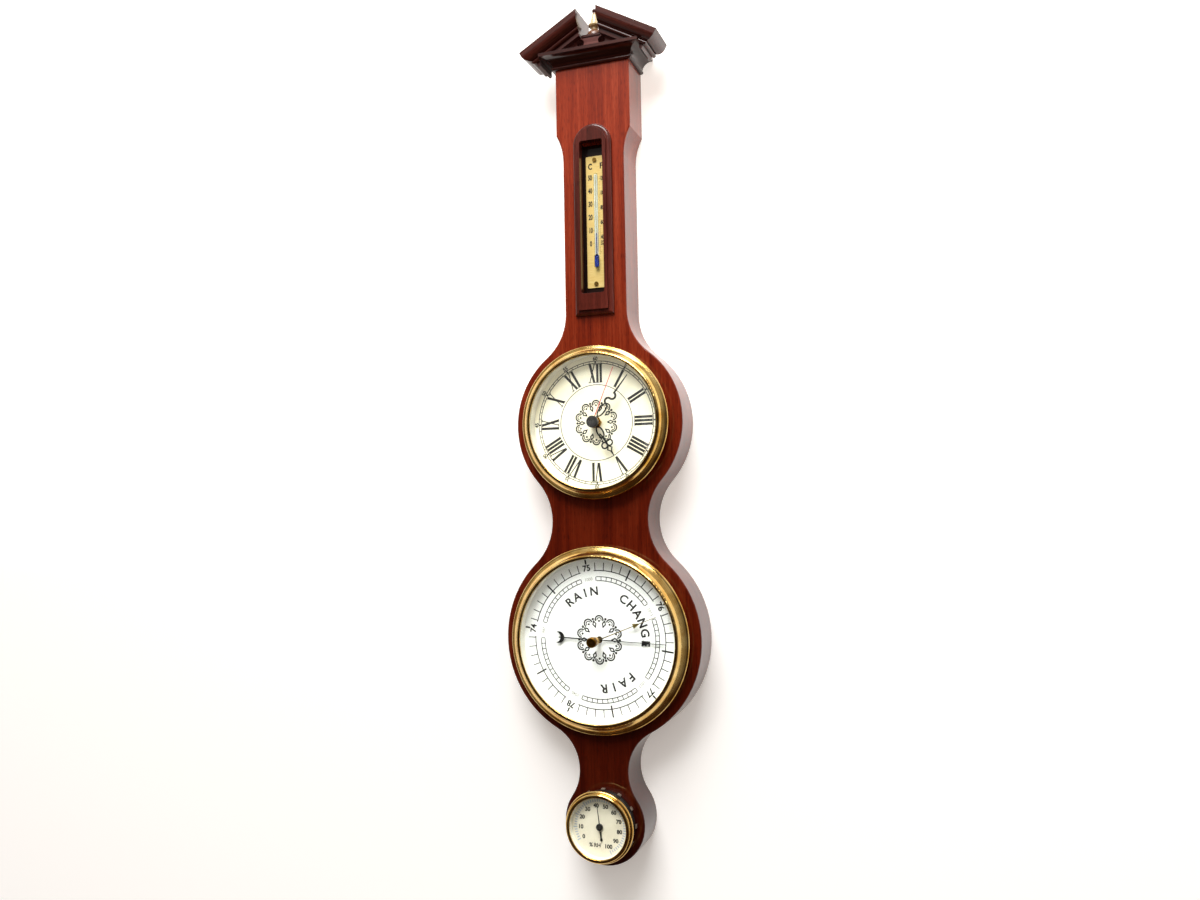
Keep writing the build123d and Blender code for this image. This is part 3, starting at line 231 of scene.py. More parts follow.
def toned_board(tree, place, tint, blend):
    """Paint shade into the case's wood: darker towards its foot, where less light falls, and darker in the
    pocket of the scale, where the recess is in shade. Leave its back raw.
    """
    painted_shade_top = -60.0
    raw_depth = 0.4
    pocket_box = {"X": (0.0, 14.0), "Y": (-SCALE_FACE - 1.2, 2.6), "Z": (SCALE_Z, 72.0)}
    parts = add(tree, "ShaderNodeSeparateXYZ", {"Vector": place})
    height = add(tree, "ShaderNodeMapRange", {"Value": parts.outputs["Z"], "From Min": HYGROMETER_Z * MM,
                                              "From Max": painted_shade_top * MM})
    # Painted shade: the wood is multiplied darker from the top of the case down to the hygrometer, in place
    # of the light falling off lower down.
    painted_foot_shade = add(tree, "ShaderNodeValToRGB", {"Fac": height.outputs["Result"]},
               stops=((0.0, "#62523C"), (1.0, "#FFFFFF"), (0.27, "#988A72"), (0.42, "#A29480"),
                      (0.59, "#C6BCB0"), (0.77, "#DBD6D0")))
    with_painted_shade = add(tree, "ShaderNodeMix", {0: 1.0, 6: tint, 7: painted_foot_shade.outputs["Color"]},
                data_type="RGBA", blend_type="MULTIPLY")
    # Painted shade: inside the scale's pocket the wood is replaced by a near-black brown, for the shade in
    # the recess.
    pocket = 1.0
    for axis, (middle, reach) in pocket_box.items():
        within = add(tree, "ShaderNodeMath", {0: parts.outputs[axis], 1: middle * MM, 2: reach * MM},
                     operation="COMPARE")
        both = add(tree, "ShaderNodeMath", {0: pocket, 1: within.outputs[0]}, operation="MULTIPLY")
        pocket = both.outputs[0]
    darkened = add(tree, "ShaderNodeMix", {0: pocket, 6: with_painted_shade.outputs[2], 7: linear("#1C0A06")},
                   data_type="RGBA")
    raw = add(tree, "ShaderNodeMath", {0: parts.outputs["Y"], 1: -raw_depth * MM}, operation="GREATER_THAN")
    back = add(tree, "ShaderNodeValToRGB", {"Fac": blend}, stops=((0.36, "#7A5540"), (0.64, "#A67D60")))
    sided = add(tree, "ShaderNodeMix", {0: raw.outputs[0], 6: darkened.outputs[2], 7: back.outputs["Color"]},
                data_type="RGBA")
    return sided.outputs[2]


def french_polished_mahogany(name, shadow, body, glow, grain_turn=(0, 0, 0), with_painted_shade=False):
    # Stained mahogany under many thin coats of shellac: soft ribbon stripes, fine dark pores along the grain,
    # and a wet clear film that mirrors the room. Pores are about 0.3 mm wide and drawn at 0.5 mm to show.
    made, tree = new_finish(name)
    place = add(tree, "ShaderNodeTexCoord", {}).outputs["Object"]
    figure = {}
    for mark, cell, detail, roughness, warp in (("ribbons", (9, 26, 190), 3.0, 0.55, 0.6),
                                                ("streaks", (1.6, 1.6, 60), 4.0, 0.6, 0.2),
                                                ("pores", (0.5, 0.5, 7), 1.0, 0.5, 0.0)):
        laid = add(tree, "ShaderNodeMapping", {"Vector": place, "Rotation": grain_turn,
                                               "Scale": tuple(length * MM for length in cell)},
                   vector_type="TEXTURE")
        noise = add(tree, "ShaderNodeTexNoise", {"Vector": laid.outputs["Vector"], "Scale": 1.0,
                                                 "Detail": detail, "Roughness": roughness,
                                                 "Distortion": warp})
        figure[mark] = noise.outputs["Fac"]
    blend = add(tree, "ShaderNodeMix", {0: 0.45, 2: figure["ribbons"], 3: figure["streaks"]}).outputs[0]
    colour = add(tree, "ShaderNodeValToRGB", {"Fac": blend},
                 stops=((0.34, shadow), (0.66, glow), (0.5, body)))
    flecks = add(tree, "ShaderNodeValToRGB", {"Fac": figure["pores"]},
                 stops=((0.34, "#8A6A5E"), (0.46, "#FFFFFF")))
    base = add(tree, "ShaderNodeMix", {0: 0.5, 6: colour.outputs["Color"], 7: flecks.outputs["Color"]},
               data_type="RGBA", blend_type="MULTIPLY")
    tint = base.outputs[2]
    # Painted shade, darker towards the foot and in the scale's pocket, when asked for.
    if with_painted_shade:
        tint = toned_board(tree, place, tint, blend)
    film = add(tree, "ShaderNodeMapRange", {"Value": figure["streaks"], "To Min": 0.26, "To Max": 0.40})
    arris = add(tree, "ShaderNodeBevel", {"Radius": 0.5 * MM}, samples=4)
    relief = add(tree, "ShaderNodeBump", {"Height": figure["pores"], "Strength": 0.05, "Distance": 0.1 * MM,
                                          "Normal": arris.outputs["Normal"]})
    shader = add(tree, "ShaderNodeBsdfPrincipled", {"Base Color": tint, "Roughness": film.outputs["Result"],
                                                    "Normal": relief.outputs["Normal"],
                                                    "Specular IOR Level": 0.15, "Coat Weight": 0.7,
                                                    "Coat Roughness": 0.07})
    add(tree, "ShaderNodeOutputMaterial", {"Surface": shader.outputs["BSDF"]})
    return made


# A scale for Mapping that takes the depth out of a distance, so that it is measured about the arbor
WITHOUT_DEPTH = (1, 1000, 1)


def spun_brass(name, z, deep, bright, rough):
    # Sheet brass spun on a lathe, polished and lacquered: a warm mirror with faint rings about its centre,
    # a little deeper where the lacquer gathers. Tool rings are about 0.1 mm and drawn at 0.5 mm to show.
    made, tree = new_finish(name)
    place = add(tree, "ShaderNodeTexCoord", {}).outputs["Object"]
    centred = add(tree, "ShaderNodeMapping", {"Vector": place, "Location": (0, 0, z * MM),
                                              "Scale": WITHOUT_DEPTH}, vector_type="TEXTURE")
    radius = add(tree, "ShaderNodeVectorMath", {0: centred.outputs["Vector"]}, operation="LENGTH")
    rings = add(tree, "ShaderNodeTexNoise", {"W": radius.outputs["Value"], "Scale": 1 / (0.5 * MM),
                                             "Detail": 3.0}, noise_dimensions="1D")
    cloud = add(tree, "ShaderNodeTexNoise", {"Vector": place, "Scale": 1 / (14 * MM), "Detail": 3.0})
    mixed = add(tree, "ShaderNodeMix", {0: 0.35, 2: cloud.outputs["Fac"], 3: rings.outputs["Fac"]})
    colour = add(tree, "ShaderNodeValToRGB", {"Fac": mixed.outputs[0]}, stops=((0.36, deep), (0.62, bright)))
    dull = add(tree, "ShaderNodeMapRange", {"Value": cloud.outputs["Fac"], "From Min": 0.3, "From Max": 0.7,
                                            "To Min": rough * 0.7, "To Max": rough * 1.4})
    relief = add(tree, "ShaderNodeBump", {"Height": rings.outputs["Fac"], "Strength": 0.02,
                                          "Distance": 0.05 * MM})
    shader = add(tree, "ShaderNodeBsdfPrincipled", {"Base Color": colour.outputs["Color"], "Metallic": 1.0,
                                                    "Roughness": dull.outputs["Result"],
                                                    "Normal": relief.outputs["Normal"]})
    add(tree, "ShaderNodeOutputMaterial", {"Surface": shader.outputs["BSDF"]})
    return made


def brushed_metal(name, deep, bright, grain, rough, metal=1.0):
    # Metal rubbed one way on a belt: short fine scratches that widen the highlight across them.
    # Scratches are about 0.05 mm and drawn at the width given, so that they show.
    made, tree = new_finish(name)
    place = add(tree, "ShaderNodeTexCoord", {}).outputs["Object"]
    along = add(tree, "ShaderNodeMapping", {"Vector": place, "Scale": tuple(length * MM for length in grain)},
                vector_type="TEXTURE")
    scratches = add(tree, "ShaderNodeTexNoise", {"Vector": along.outputs["Vector"], "Scale": 1.0,
                                                 "Detail": 4.0, "Roughness": 0.65}).outputs["Fac"]
    colour = add(tree, "ShaderNodeValToRGB", {"Fac": scratches}, stops=((0.35, deep), (0.65, bright)))
    dull = add(tree, "ShaderNodeMapRange", {"Value": scratches, "From Min": 0.3, "From Max": 0.7,
                                            "To Min": rough * 0.8, "To Max": rough * 1.25})
    relief = add(tree, "ShaderNodeBump", {"Height": scratches, "Strength": 0.1, "Distance": 0.05 * MM})
    shader = add(tree, "ShaderNodeBsdfPrincipled", {"Base Color": colour.outputs["Color"], "Metallic": metal,
                                                    "Roughness": dull.outputs["Result"],
                                                    "Normal": relief.outputs["Normal"]})
    add(tree, "ShaderNodeOutputMaterial", {"Surface": shader.outputs["BSDF"]})
    return made


def mottled(name, dark, light, patch, rough, relief_height=0.0, coat=0.0):
    # A coated or moulded surface: colour that drifts a little in patches, and a fine tooth that breaks the
    # shine. The tooth is about 0.1 mm and drawn at 0.6 mm to show.
    made, tree = new_finish(name)
    place = add(tree, "ShaderNodeTexCoord", {}).outputs["Object"]
    drift = add(tree, "ShaderNodeTexNoise", {"Vector": place, "Scale": 1 / (patch * MM), "Detail": 5.0,
                                             "Roughness": 0.6})
    colour = add(tree, "ShaderNodeValToRGB", {"Fac": drift.outputs["Fac"]}, stops=((0.3, dark), (0.7, light)))
    tooth = add(tree, "ShaderNodeTexNoise", {"Vector": place, "Scale": 1 / (0.6 * MM), "Detail": 2.0})
    dull = add(tree, "ShaderNodeMapRange", {"Value": tooth.outputs["Fac"], "From Min": 0.3, "From Max": 0.7,
                                            "To Min": rough * 0.85, "To Max": rough * 1.15})
    relief = add(tree, "ShaderNodeBump", {"Height": tooth.outputs["Fac"], "Strength": 0.1,
                                          "Distance": relief_height * MM})
    shader = add(tree, "ShaderNodeBsdfPrincipled", {"Base Color": colour.outputs["Color"],
                                                    "Roughness": dull.outputs["Result"], "Coat Weight": coat,
                                                    "Coat Roughness": 0.1,
                                                    "Normal": relief.outputs["Normal"]})
    add(tree, "ShaderNodeOutputMaterial", {"Surface": shader.outputs["BSDF"]})
    return made


def clear_glass(name, tint, bending, gloss):
    # Thin drawn glass: clear, with a sharp gloss and a faint green edge. Lamps shine through it.
    # A thin pane lets the view straight through, so its bending is 1 and its gloss is a coat.
    # A tube bends the view.
    made, tree = new_finish(name)
    path = add(tree, "ShaderNodeLightPath", {})
    place = add(tree, "ShaderNodeTexCoord", {}).outputs["Object"]
    wave = add(tree, "ShaderNodeTexNoise", {"Vector": place, "Scale": 1 / (60 * MM), "Detail": 1.0})
    relief = add(tree, "ShaderNodeBump", {"Height": wave.outputs["Fac"], "Strength": 0.05,
                                          "Distance": 0.2 * MM})
    pane = add(tree, "ShaderNodeBsdfPrincipled", {"Base Color": linear(tint), "Roughness": 0.0,
                                                  "IOR": bending, "Transmission Weight": 1.0,
                                                  "Normal": relief.outputs["Normal"],
                                                  "Coat Weight": gloss, "Coat Roughness": 0.0,
                                                  "Coat Normal": relief.outputs["Normal"]})
    clear = add(tree, "ShaderNodeBsdfTransparent", {"Color": linear(tint)})
    shader = add(tree, "ShaderNodeMixShader", {0: path.outputs["Is Shadow Ray"], 1: pane.outputs["BSDF"],
                                               2: clear.outputs["BSDF"]})
    add(tree, "ShaderNodeOutputMaterial", {"Surface": shader.outputs["Shader"]})
    return made


def two_tone_round(name, z, border, inner, outer):
    # A round piece in two coats: one colour within a circle about the arbor and another outside it,
    # both a little uneven.
    made, tree = new_finish(name)
    place = add(tree, "ShaderNodeTexCoord", {}).outputs["Object"]
    centred = add(tree, "ShaderNodeMapping", {"Vector": place, "Location": (0, 0, z * MM),
                                              "Scale": WITHOUT_DEPTH}, vector_type="TEXTURE")
    radius = add(tree, "ShaderNodeVectorMath", {0: centred.outputs["Vector"]}, operation="LENGTH")
    outside = add(tree, "ShaderNodeMath", {0: radius.outputs["Value"], 1: border * MM},
                  operation="GREATER_THAN")
    drift = add(tree, "ShaderNodeTexNoise", {"Vector": place, "Scale": 1 / (3 * MM), "Detail": 3.0})
    middle = add(tree, "ShaderNodeValToRGB", {"Fac": drift.outputs["Fac"]},
                 stops=((0.3, inner[0]), (0.7, inner[1])))
    rim = add(tree, "ShaderNodeValToRGB", {"Fac": drift.outputs["Fac"]},
              stops=((0.3, outer[0]), (0.7, outer[1])))
    colour = add(tree, "ShaderNodeMix", {0: outside.outputs[0], 6: middle.outputs["Color"],
                                         7: rim.outputs["Color"]}, data_type="RGBA")
    shader = add(tree, "ShaderNodeBsdfPrincipled", {"Base Color": colour.outputs[2], "Roughness": 0.4})
    add(tree, "ShaderNodeOutputMaterial", {"Surface": shader.outputs["BSDF"]})
    return made


def gilded_turning(name):
    # A turned beech finial: a cream band on the cone, which is a painted highlight, a dark brown foot, which
    # is a painted dark reflection, and a dark red-brown ball. The lathe's rings are drawn at 0.9 mm to show.
    foot, top = 53.0, 83.0
    made, tree = new_finish(name)
    place = add(tree, "ShaderNodeTexCoord", {}).outputs["Object"]
    parts = add(tree, "ShaderNodeSeparateXYZ", {"Vector": place})
    height = add(tree, "ShaderNodeMapRange", {"Value": parts.outputs["Z"], "From Min": foot * MM,
                                              "From Max": top * MM})
    # Painted light: the cream band stands for the highlight on the cone and the dark foot band for a dark
    # reflection.
    bands = add(tree, "ShaderNodeValToRGB", {"Fac": height.outputs["Result"]},
                stops=((0.0, "#6A3A26"), (0.86, "#4A160E"), (0.26, "#8A5A38"), (0.36, "#E8CF9A"),
                       (0.74, "#F2E2B8"), (0.80, "#C89A5A")))
    rings = add(tree, "ShaderNodeTexNoise", {"W": parts.outputs["Z"], "Scale": 1 / (0.9 * MM), "Detail": 2.0},
                noise_dimensions="1D").outputs["Fac"]
    wear = add(tree, "ShaderNodeValToRGB", {"Fac": rings}, stops=((0.3, "#C8B08C"), (0.6, "#FFFFFF")))
    colour = add(tree, "ShaderNodeMix", {0: 0.8, 6: bands.outputs["Color"], 7: wear.outputs["Color"]},
                 data_type="RGBA", blend_type="MULTIPLY")
    relief = add(tree, "ShaderNodeBump", {"Height": rings, "Strength": 0.15, "Distance": 0.2 * MM})
    shader = add(tree, "ShaderNodeBsdfPrincipled", {"Base Color": colour.outputs[2], "Roughness": 0.32,
                                                    "Coat Weight": 0.5, "Coat Roughness": 0.12,
                                                    "Normal": relief.outputs["Normal"]})
    add(tree, "ShaderNodeOutputMaterial", {"Surface": shader.outputs["BSDF"]})
    return made


def paint(finish, *nodes):
    """Give a finish to nodes of the frame."""
    for node in nodes:
        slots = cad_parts[node].data.materials
        slots.clear()
        slots.append(finish)


# Wood

ACROSS = (0, math.radians(90), 0)
OUTWARD = (math.radians(90), 0, 0)
RAKE_LEAN = 60.5

# The case's board carries painted shade towards its foot and in the scale's pocket.
paint(french_polished_mahogany("mahogany board, french polished", "#761E0A", "#9B3111", "#B84927",
                               with_painted_shade=True), "case_body")
# The thermometer frame takes a lighter, redder copy of the dark moulding wood: its red is its own, its extra
# lightness is painted light for the light falling on it.
paint(french_polished_mahogany("dark mahogany moulding", "#42150A", "#5C1F14", "#783226"),
      "thermometer_frame")
paint(french_polished_mahogany("dark mahogany, grain across", "#240B07", "#3A140E", "#502218", ACROSS),
      "cornice_front", "finial_plinth")
paint(french_polished_mahogany("mahogany pediment board", "#4A201A", "#66342E", "#804C44", ACROSS),
      "tympanum")
paint(french_polished_mahogany("dark mahogany, grain outward", "#240B07", "#3A140E", "#502218", OUTWARD),
      "cornice_return_left", "cornice_return_right")
for side, lean in (("left", RAKE_LEAN), ("right", 180 - RAKE_LEAN)):
    paint(french_polished_mahogany("dark mahogany, grain up the " + side + " rake", "#30100A", "#4A1C14",
                                   "#602A20", (0, math.radians(lean), 0)), "pediment_rake_" + side)
paint(gilded_turning("beech finial, painted highlight and dark reflection"), "finial")


# Metal. The grain of brushed metal is the length of its scratches along X, Y and Z.

for instrument, z in (("clock", CLOCK_Z), ("barometer", BAROMETER_Z), ("hygrometer", HYGROMETER_Z)):
    paint(spun_brass("spun brass, " + instrument + " bezel", z, "#C8923A", "#F0CE86", rough=0.16),
          instrument + "_bezel")
    paint(brushed_metal("tinplate, " + instrument + " can", "#8E8E8C", "#B4B4B0", grain=(6, 0.6, 6),
                        rough=0.4), instrument + "_can")
paint(spun_brass("turned brass", BAROMETER_Z, "#B98A3C", "#E6C47C", rough=0.24),
      "set_shaft_bush", "barometer_base_plate", "barometer_bridge", "sector_gear", "adjusting_screw")
paint(spun_brass("turned brass, clock arbor", CLOCK_Z, "#B98A3C", "#E6C47C", rough=0.24),
      "dial_nut", "movement_bush")
paint(spun_brass("turned brass, hygrometer yoke", HYGROMETER_Z, "#B98A3C", "#E6C47C", rough=0.24),
      "hygrometer_yoke")
paint(spun_brass("dull brass set hand", BAROMETER_Z, "#6E5C2C", "#A08C52", rough=0.36), "set_hand")
paint(spun_brass("darkened brass knob", BAROMETER_Z, "#5E3C12", "#946A26", rough=0.34), "set_knob")
paint(brushed_metal("brass screws", "#6E5426", "#A98440", grain=(0.4, 2, 2), rough=0.35), "small_screws")
paint(brushed_metal("gilt lacquered plate", "#EAC468", "#FCE296", grain=(9, 0.3, 0.3), rough=0.45,
                    metal=0.25), "thermometer_scale")
paint(brushed_metal("zinc plated steel", "#8A8C90", "#BCBEC0", grain=(5, 5, 0.5), rough=0.38),
      "hanger_plate", "seconds_arbor", "pressure_arbor", "main_spring")
paint(brushed_metal("nickel silver", "#98948A", "#C2BEB2", grain=(3, 3, 3), rough=0.32),
      "aneroid_capsule", "humidity_coil")
# The claw tips outside the border are painted lighter: a painted glint on the tips of the blackened steel.
paint(two_tone_round("blackened steel ring, painted glint on the tips", HYGROMETER_Z, border=29.5,
                     inner=("#141010", "#2A2220"), outer=("#6A5C4E", "#98887A")), "hygrometer_grip_ring")
paint(two_tone_round("red tin hand with a black cap", CLOCK_Z, border=5.6,
                     inner=("#1A1818", "#2E2B2A"), outer=("#CC3A30", "#E25A4C")), "seconds_hand")
paint(mottled("black japanned steel", "#0B0A0A", "#1C1A19", patch=2.0, rough=0.38, coat=0.3),
      "minute_hand", "hour_hand", "pressure_hand", "hygrometer_needle")


# Glass, enamel, plastic and ink

paint(clear_glass("domed crystal glass", "#FBFDFC", bending=1.0, gloss=1.0),
      "clock_glass", "barometer_glass", "hygrometer_glass")
paint(clear_glass("thermometer tube glass", "#F4FAF8", bending=1.5, gloss=0.0), "thermometer_tube")
paint(mottled("blue spirit", "#0A1C64", "#16349A", patch=4.0, rough=0.15), "thermometer_spirit")
paint(mottled("ivory dial enamel", "#F4EACB", "#FAF3DC", patch=30.0, rough=0.42), "clock_dial")
paint(mottled("white dial enamel", "#EFEEE8", "#F7F6F2", patch=30.0, rough=0.40), "barometer_dial")
paint(mottled("cream dial enamel", "#CFC6AF", "#DAD2BE", patch=18.0, rough=0.45), "hygrometer_dial")
paint(mottled("white lacquered ring", "#E6E0D0", "#F2EEE2", patch=12.0, rough=0.35),
      "clock_reflector", "barometer_reflector", "hygrometer_reflector")
paint(mottled("black moulded plastic", "#101010", "#1C1C1C", patch=5.0, rough=0.5, relief_height=0.05),
      "movement_housing", "movement_rear_cover", "time_setting_knob")
paint(mottled("natural acetal", "#D6D4C8", "#E8E6DC", patch=4.0, rough=0.4, relief_height=0.02),
      "minute_tube", "hour_wheel", "change_wheel")
paint(mottled("green solder mask", "#0E4020", "#1C6A38", patch=3.0, rough=0.35), "circuit_board")
paint(mottled("enamelled copper wire", "#6E2C10", "#A85A28", patch=0.5, rough=0.3), "motor_coil")
paint(mottled("plain cell jacket", "#1C2A44", "#2E4266", patch=8.0, rough=0.3), "battery")

white_enamel = mottled("white enamel strip", "#CFC9BC", "#DED8CC", patch=6.0, rough=0.35)
black_ink = mottled("black printing ink", "#12100F", "#241F1C", patch=3.0, rough=0.6)
grey_ink = mottled("grey printing ink", "#8A8478", "#A39C8E", patch=3.0, rough=0.6)
blue_grey_ink = mottled("blue-grey printing ink", "#8C94A0", "#A6ADB8", patch=3.0, rough=0.6)


# Clock dial: a railway track of minutes, bold upright numerals and a lace rosette

TRACK_INNER, TRACK_OUTER, TRACK_LINE = 53.6, 55.6, 0.65
CENTRE_RING, CENTRE_LINE = 34.2, 0.6
MINUTE_WIDTH, FIVE_MINUTE_WIDTH, FIVE_MINUTE_REACH = 0.5, 1.3, 0.2
MINUTE_FIGURE, MINUTE_FIGURE_AT, MINUTE_FIGURE_WEIGHT = 4.5, 57.7, 0.17
NUMERAL_LOW, NUMERAL_HIGH = 36.2, 52.6
THICK, THIN = 2.3, 0.9
SERIF_WIDTH, SERIF_HEIGHT = 2.9, 0.6
LETTER_ROOM = {"I": 3.2, "V": 6.8, "X": 7.0}
# Each stroke of a letter has its width, the place of its foot and its lean
LETTER_STROKES = {
    "I": ((THICK, 0.0, 0.0),),
    "V": ((THICK, -0.2, -2.0), (THIN, 0.4, 2.2)),
    "X": ((THICK, 2.0, -4.0), (THIN, -2.2, 4.4)),
}


def numeral(letters, angle):
    """A bold Roman numeral between two circles of the dial, with its foot towards the centre."""
    x = -sum(LETTER_ROOM[letter] for letter in letters) / 2
    pieces = []
    for letter in letters:
        middle = x + LETTER_ROOM[letter] / 2
        for width, foot, lean in LETTER_STROKES[letter]:
            pieces.append(stroke(width, NUMERAL_LOW, NUMERAL_HIGH, middle + foot, lean))
            ends = [(middle + foot + lean, NUMERAL_HIGH)]
            if letter != "V":
                ends.append((middle + foot, NUMERAL_LOW))
            for end, level in ends:
                pieces.append(stroke(SERIF_WIDTH, level - SERIF_HEIGHT / 2, level + SERIF_HEIGHT / 2, end))
        x += LETTER_ROOM[letter]
    return turn(join(pieces), angle)


def rosette(size):
    """Ten lace scallops round the arbor, each with an inner arch and a bud, a knot and a leaf beside it."""
    scallops = 10
    between = 180 / scallops
    arch_foot, inner_foot = 15.4, 16.0
    arch = cut_away(circle_line(radius=3.4, line=1.25, sides=36, y=16.6), lambda x, y: y < arch_foot)
    inner = cut_away(circle_line(radius=1.9, line=0.8, sides=28, y=16.4), lambda x, y: y < inner_foot)
    bud = spot(radius=1.15, y=15.6, sides=4)
    leaf = turn(circle_line(radius=1.55, line=0.85, sides=4, y=13.6, tall=1.9), between)
    knot = turn(spot(radius=1.1, y=18.0), between)
    ornament = join([arch, inner, bud, leaf, knot])
    ornament.scale = (size, size, 1)
    return repeat_round(ornament, scallops)


clock_print = [circle_line(TRACK_INNER, TRACK_LINE), circle_line(TRACK_OUTER, TRACK_LINE),
               circle_line(CENTRE_RING, CENTRE_LINE)]
clock_print.append(repeat_round(stroke(MINUTE_WIDTH, TRACK_INNER, TRACK_OUTER), 60))
clock_print.append(repeat_round(stroke(FIVE_MINUTE_WIDTH, TRACK_INNER - FIVE_MINUTE_REACH,
                                       TRACK_OUTER + FIVE_MINUTE_REACH), 12))
for hour, letters in enumerate("XII I II III IIII V VI VII VIII IX X XI".split()):
    minutes = figures(str(hour * 5 or 60), MINUTE_FIGURE, 0, MINUTE_FIGURE_AT, MINUTE_FIGURE_WEIGHT)
    clock_print.append(numeral(letters, hour * 30))
    clock_print.append(turn(minutes, hour * 30))
clock_print.append(rosette(size=1.0))
lay_on_dial("clock_print", clock_print, CLOCK_FACE, CLOCK_Z, black_ink)


# Barometer dial: centimetres of mercury outside, hectopascals inside, and the weather between

LOWEST, HIGHEST = 74, 78
LOWEST_AT, CENTIMETRE = 278.0, 72.0
HECTOPASCALS = 13.3322
TENTHS_RING, TENTHS_LINE, TENTHS_GAP = 61.0, 0.85, 6.2
LADDER_INNER, LADDER_OUTER, LADDER_LINE, LADDER_GAP = 52.0, 55.5, 0.75, 7.8
LADDER_START, LADDER_SWEEP, RUNGS = 7.5, 57.0, 12
PRESSURE_FIGURE, PRESSURE_FIGURE_AT, PRESSURE_WEIGHT = 7.4, 63.6, 0.24
SMALL_FIGURE, SMALL_FIGURE_AT, SMALL_WEIGHT = 3.8, 53.6, 0.02
WORD_SIZE, WORD_AT, WORD_WEIGHT = 10.6, 42.5, 0.3
# Each weather word has the bearing of its middle and the angle from letter to letter
WEATHER = (("RAIN", 337.0, 11.5), ("CHANGE", 63.0, 12.0), ("FAIR", 156.0, 12.5))

pressures = {}
for number in range(LOWEST, HIGHEST + 1):
    pressures[number] = (LOWEST_AT + (number - LOWEST) * CENTIMETRE) % 360


def near_a_number(reach):
    """A test for faces within some degrees of a number of the scale."""
    def test(x, y):
        bearing = math.degrees(math.atan2(x, y))
        return any(abs((bearing - place + 180) % 360 - 180) < reach for place in pressures.values())
    return test


tenth = CENTIMETRE / 10
tenths = repeat_round(stroke(width=0.8, low=TENTHS_RING, high=68.0), count=9, sweep=8 * tenth)
rungs = repeat_round(stroke(width=0.7, low=LADDER_INNER, high=LADDER_OUTER), RUNGS, LADDER_SWEEP)
turn(tenths, LOWEST_AT + tenth)
turn(rungs, LOWEST_AT + LADDER_START)
half_mark = turn(stroke(width=1.4, low=57.8, high=68.4), LOWEST_AT + CENTIMETRE / 2)
whole_mark = turn(stroke(width=1.5, low=67.2, high=71.6), LOWEST_AT)
barometer_print = [repeat_round(join([tenths, half_mark, whole_mark, rungs]), len(pressures))]
barometer_print.append(cut_away(circle_line(TENTHS_RING, TENTHS_LINE, sides=360), near_a_number(TENTHS_GAP)))
for radius in (LADDER_INNER, LADDER_OUTER):
    barometer_print.append(cut_away(circle_line(radius, LADDER_LINE, sides=360), near_a_number(LADDER_GAP)))
for number, place in pressures.items():
    figure = figures(str(number), PRESSURE_FIGURE, 0, PRESSURE_FIGURE_AT, PRESSURE_WEIGHT)
    barometer_print.append(turn(figure, place))
for word, middle, spacing in WEATHER:
    for number, letter in enumerate(word):
        place = middle + (number - (len(word) - 1) / 2) * spacing
        barometer_print.append(turn(figures(letter, WORD_SIZE, 0, WORD_AT, WORD_WEIGHT), place))
barometer_print.append(rosette(size=1.06))
lay_on_dial("barometer_print", barometer_print, BAROMETER_FACE, BAROMETER_Z, black_ink)
small_figures = []
for number, place in pressures.items():
    figure = figures(str(round(number * HECTOPASCALS)), SMALL_FIGURE, 0, SMALL_FIGURE_AT, SMALL_WEIGHT)
    small_figures.append(turn(figure, place))
lay_on_dial("barometer_small_figures", small_figures, BAROMETER_FACE, BAROMETER_Z, grey_ink)


# Hygrometer dial: per cent of humidity

DRY_AT, PER_CENT = -122.0, 2.78
HUMIDITY_FIGURE, HUMIDITY_FIGURE_AT, HUMIDITY_WEIGHT = 4.8, 18.0, 0.22
UNIT_FIGURE, UNIT_X, UNIT_Y, UNIT_WEIGHT = 4.6, -5.0, -16.0, 0.16

hygrometer_print = []
for percent in range(0, 101, 10):
    place = math.radians(DRY_AT + percent * PER_CENT)
    hygrometer_print.append(figures(str(percent), HUMIDITY_FIGURE, HUMIDITY_FIGURE_AT * math.sin(place),
                                    HUMIDITY_FIGURE_AT * math.cos(place), HUMIDITY_WEIGHT))
hygrometer_print.append(figures("% RH", UNIT_FIGURE, UNIT_X, UNIT_Y, UNIT_WEIGHT))
lay_on_dial("hygrometer_print", hygrometer_print, HYGROMETER_FACE, HYGROMETER_Z, black_ink)
fine_mark = turn(stroke(width=1.0, low=21.3, high=23.8), DRY_AT)
ten_mark = turn(stroke(width=1.2, low=23.85, high=24.8), DRY_AT)
fine_marks = repeat_round(fine_mark, count=51, sweep=100 * PER_CENT)
ten_marks = repeat_round(ten_mark, count=11, sweep=100 * PER_CENT)
lay_on_dial("hygrometer_marks", [fine_marks, ten_marks], HYGROMETER_FACE, HYGROMETER_Z, blue_grey_ink)


# Thermometer plate: degrees Celsius on the left of the tube and Fahrenheit on the right

FREEZING, DEGREE = -141.9, 1.23
TICK = 0.24
CELSIUS_EDGE, FAHRENHEIT_EDGE = -0.3, 3.9
LETTER_SIZE, LETTER_Z, LETTER_WEIGHT, LETTER_NARROW = 7.4, -70.0, 0.28, 0.75


def level_of(fahrenheit):
    """The height of a reading in Fahrenheit."""
    return FREEZING + (fahrenheit - 32) / 1.8 * DEGREE


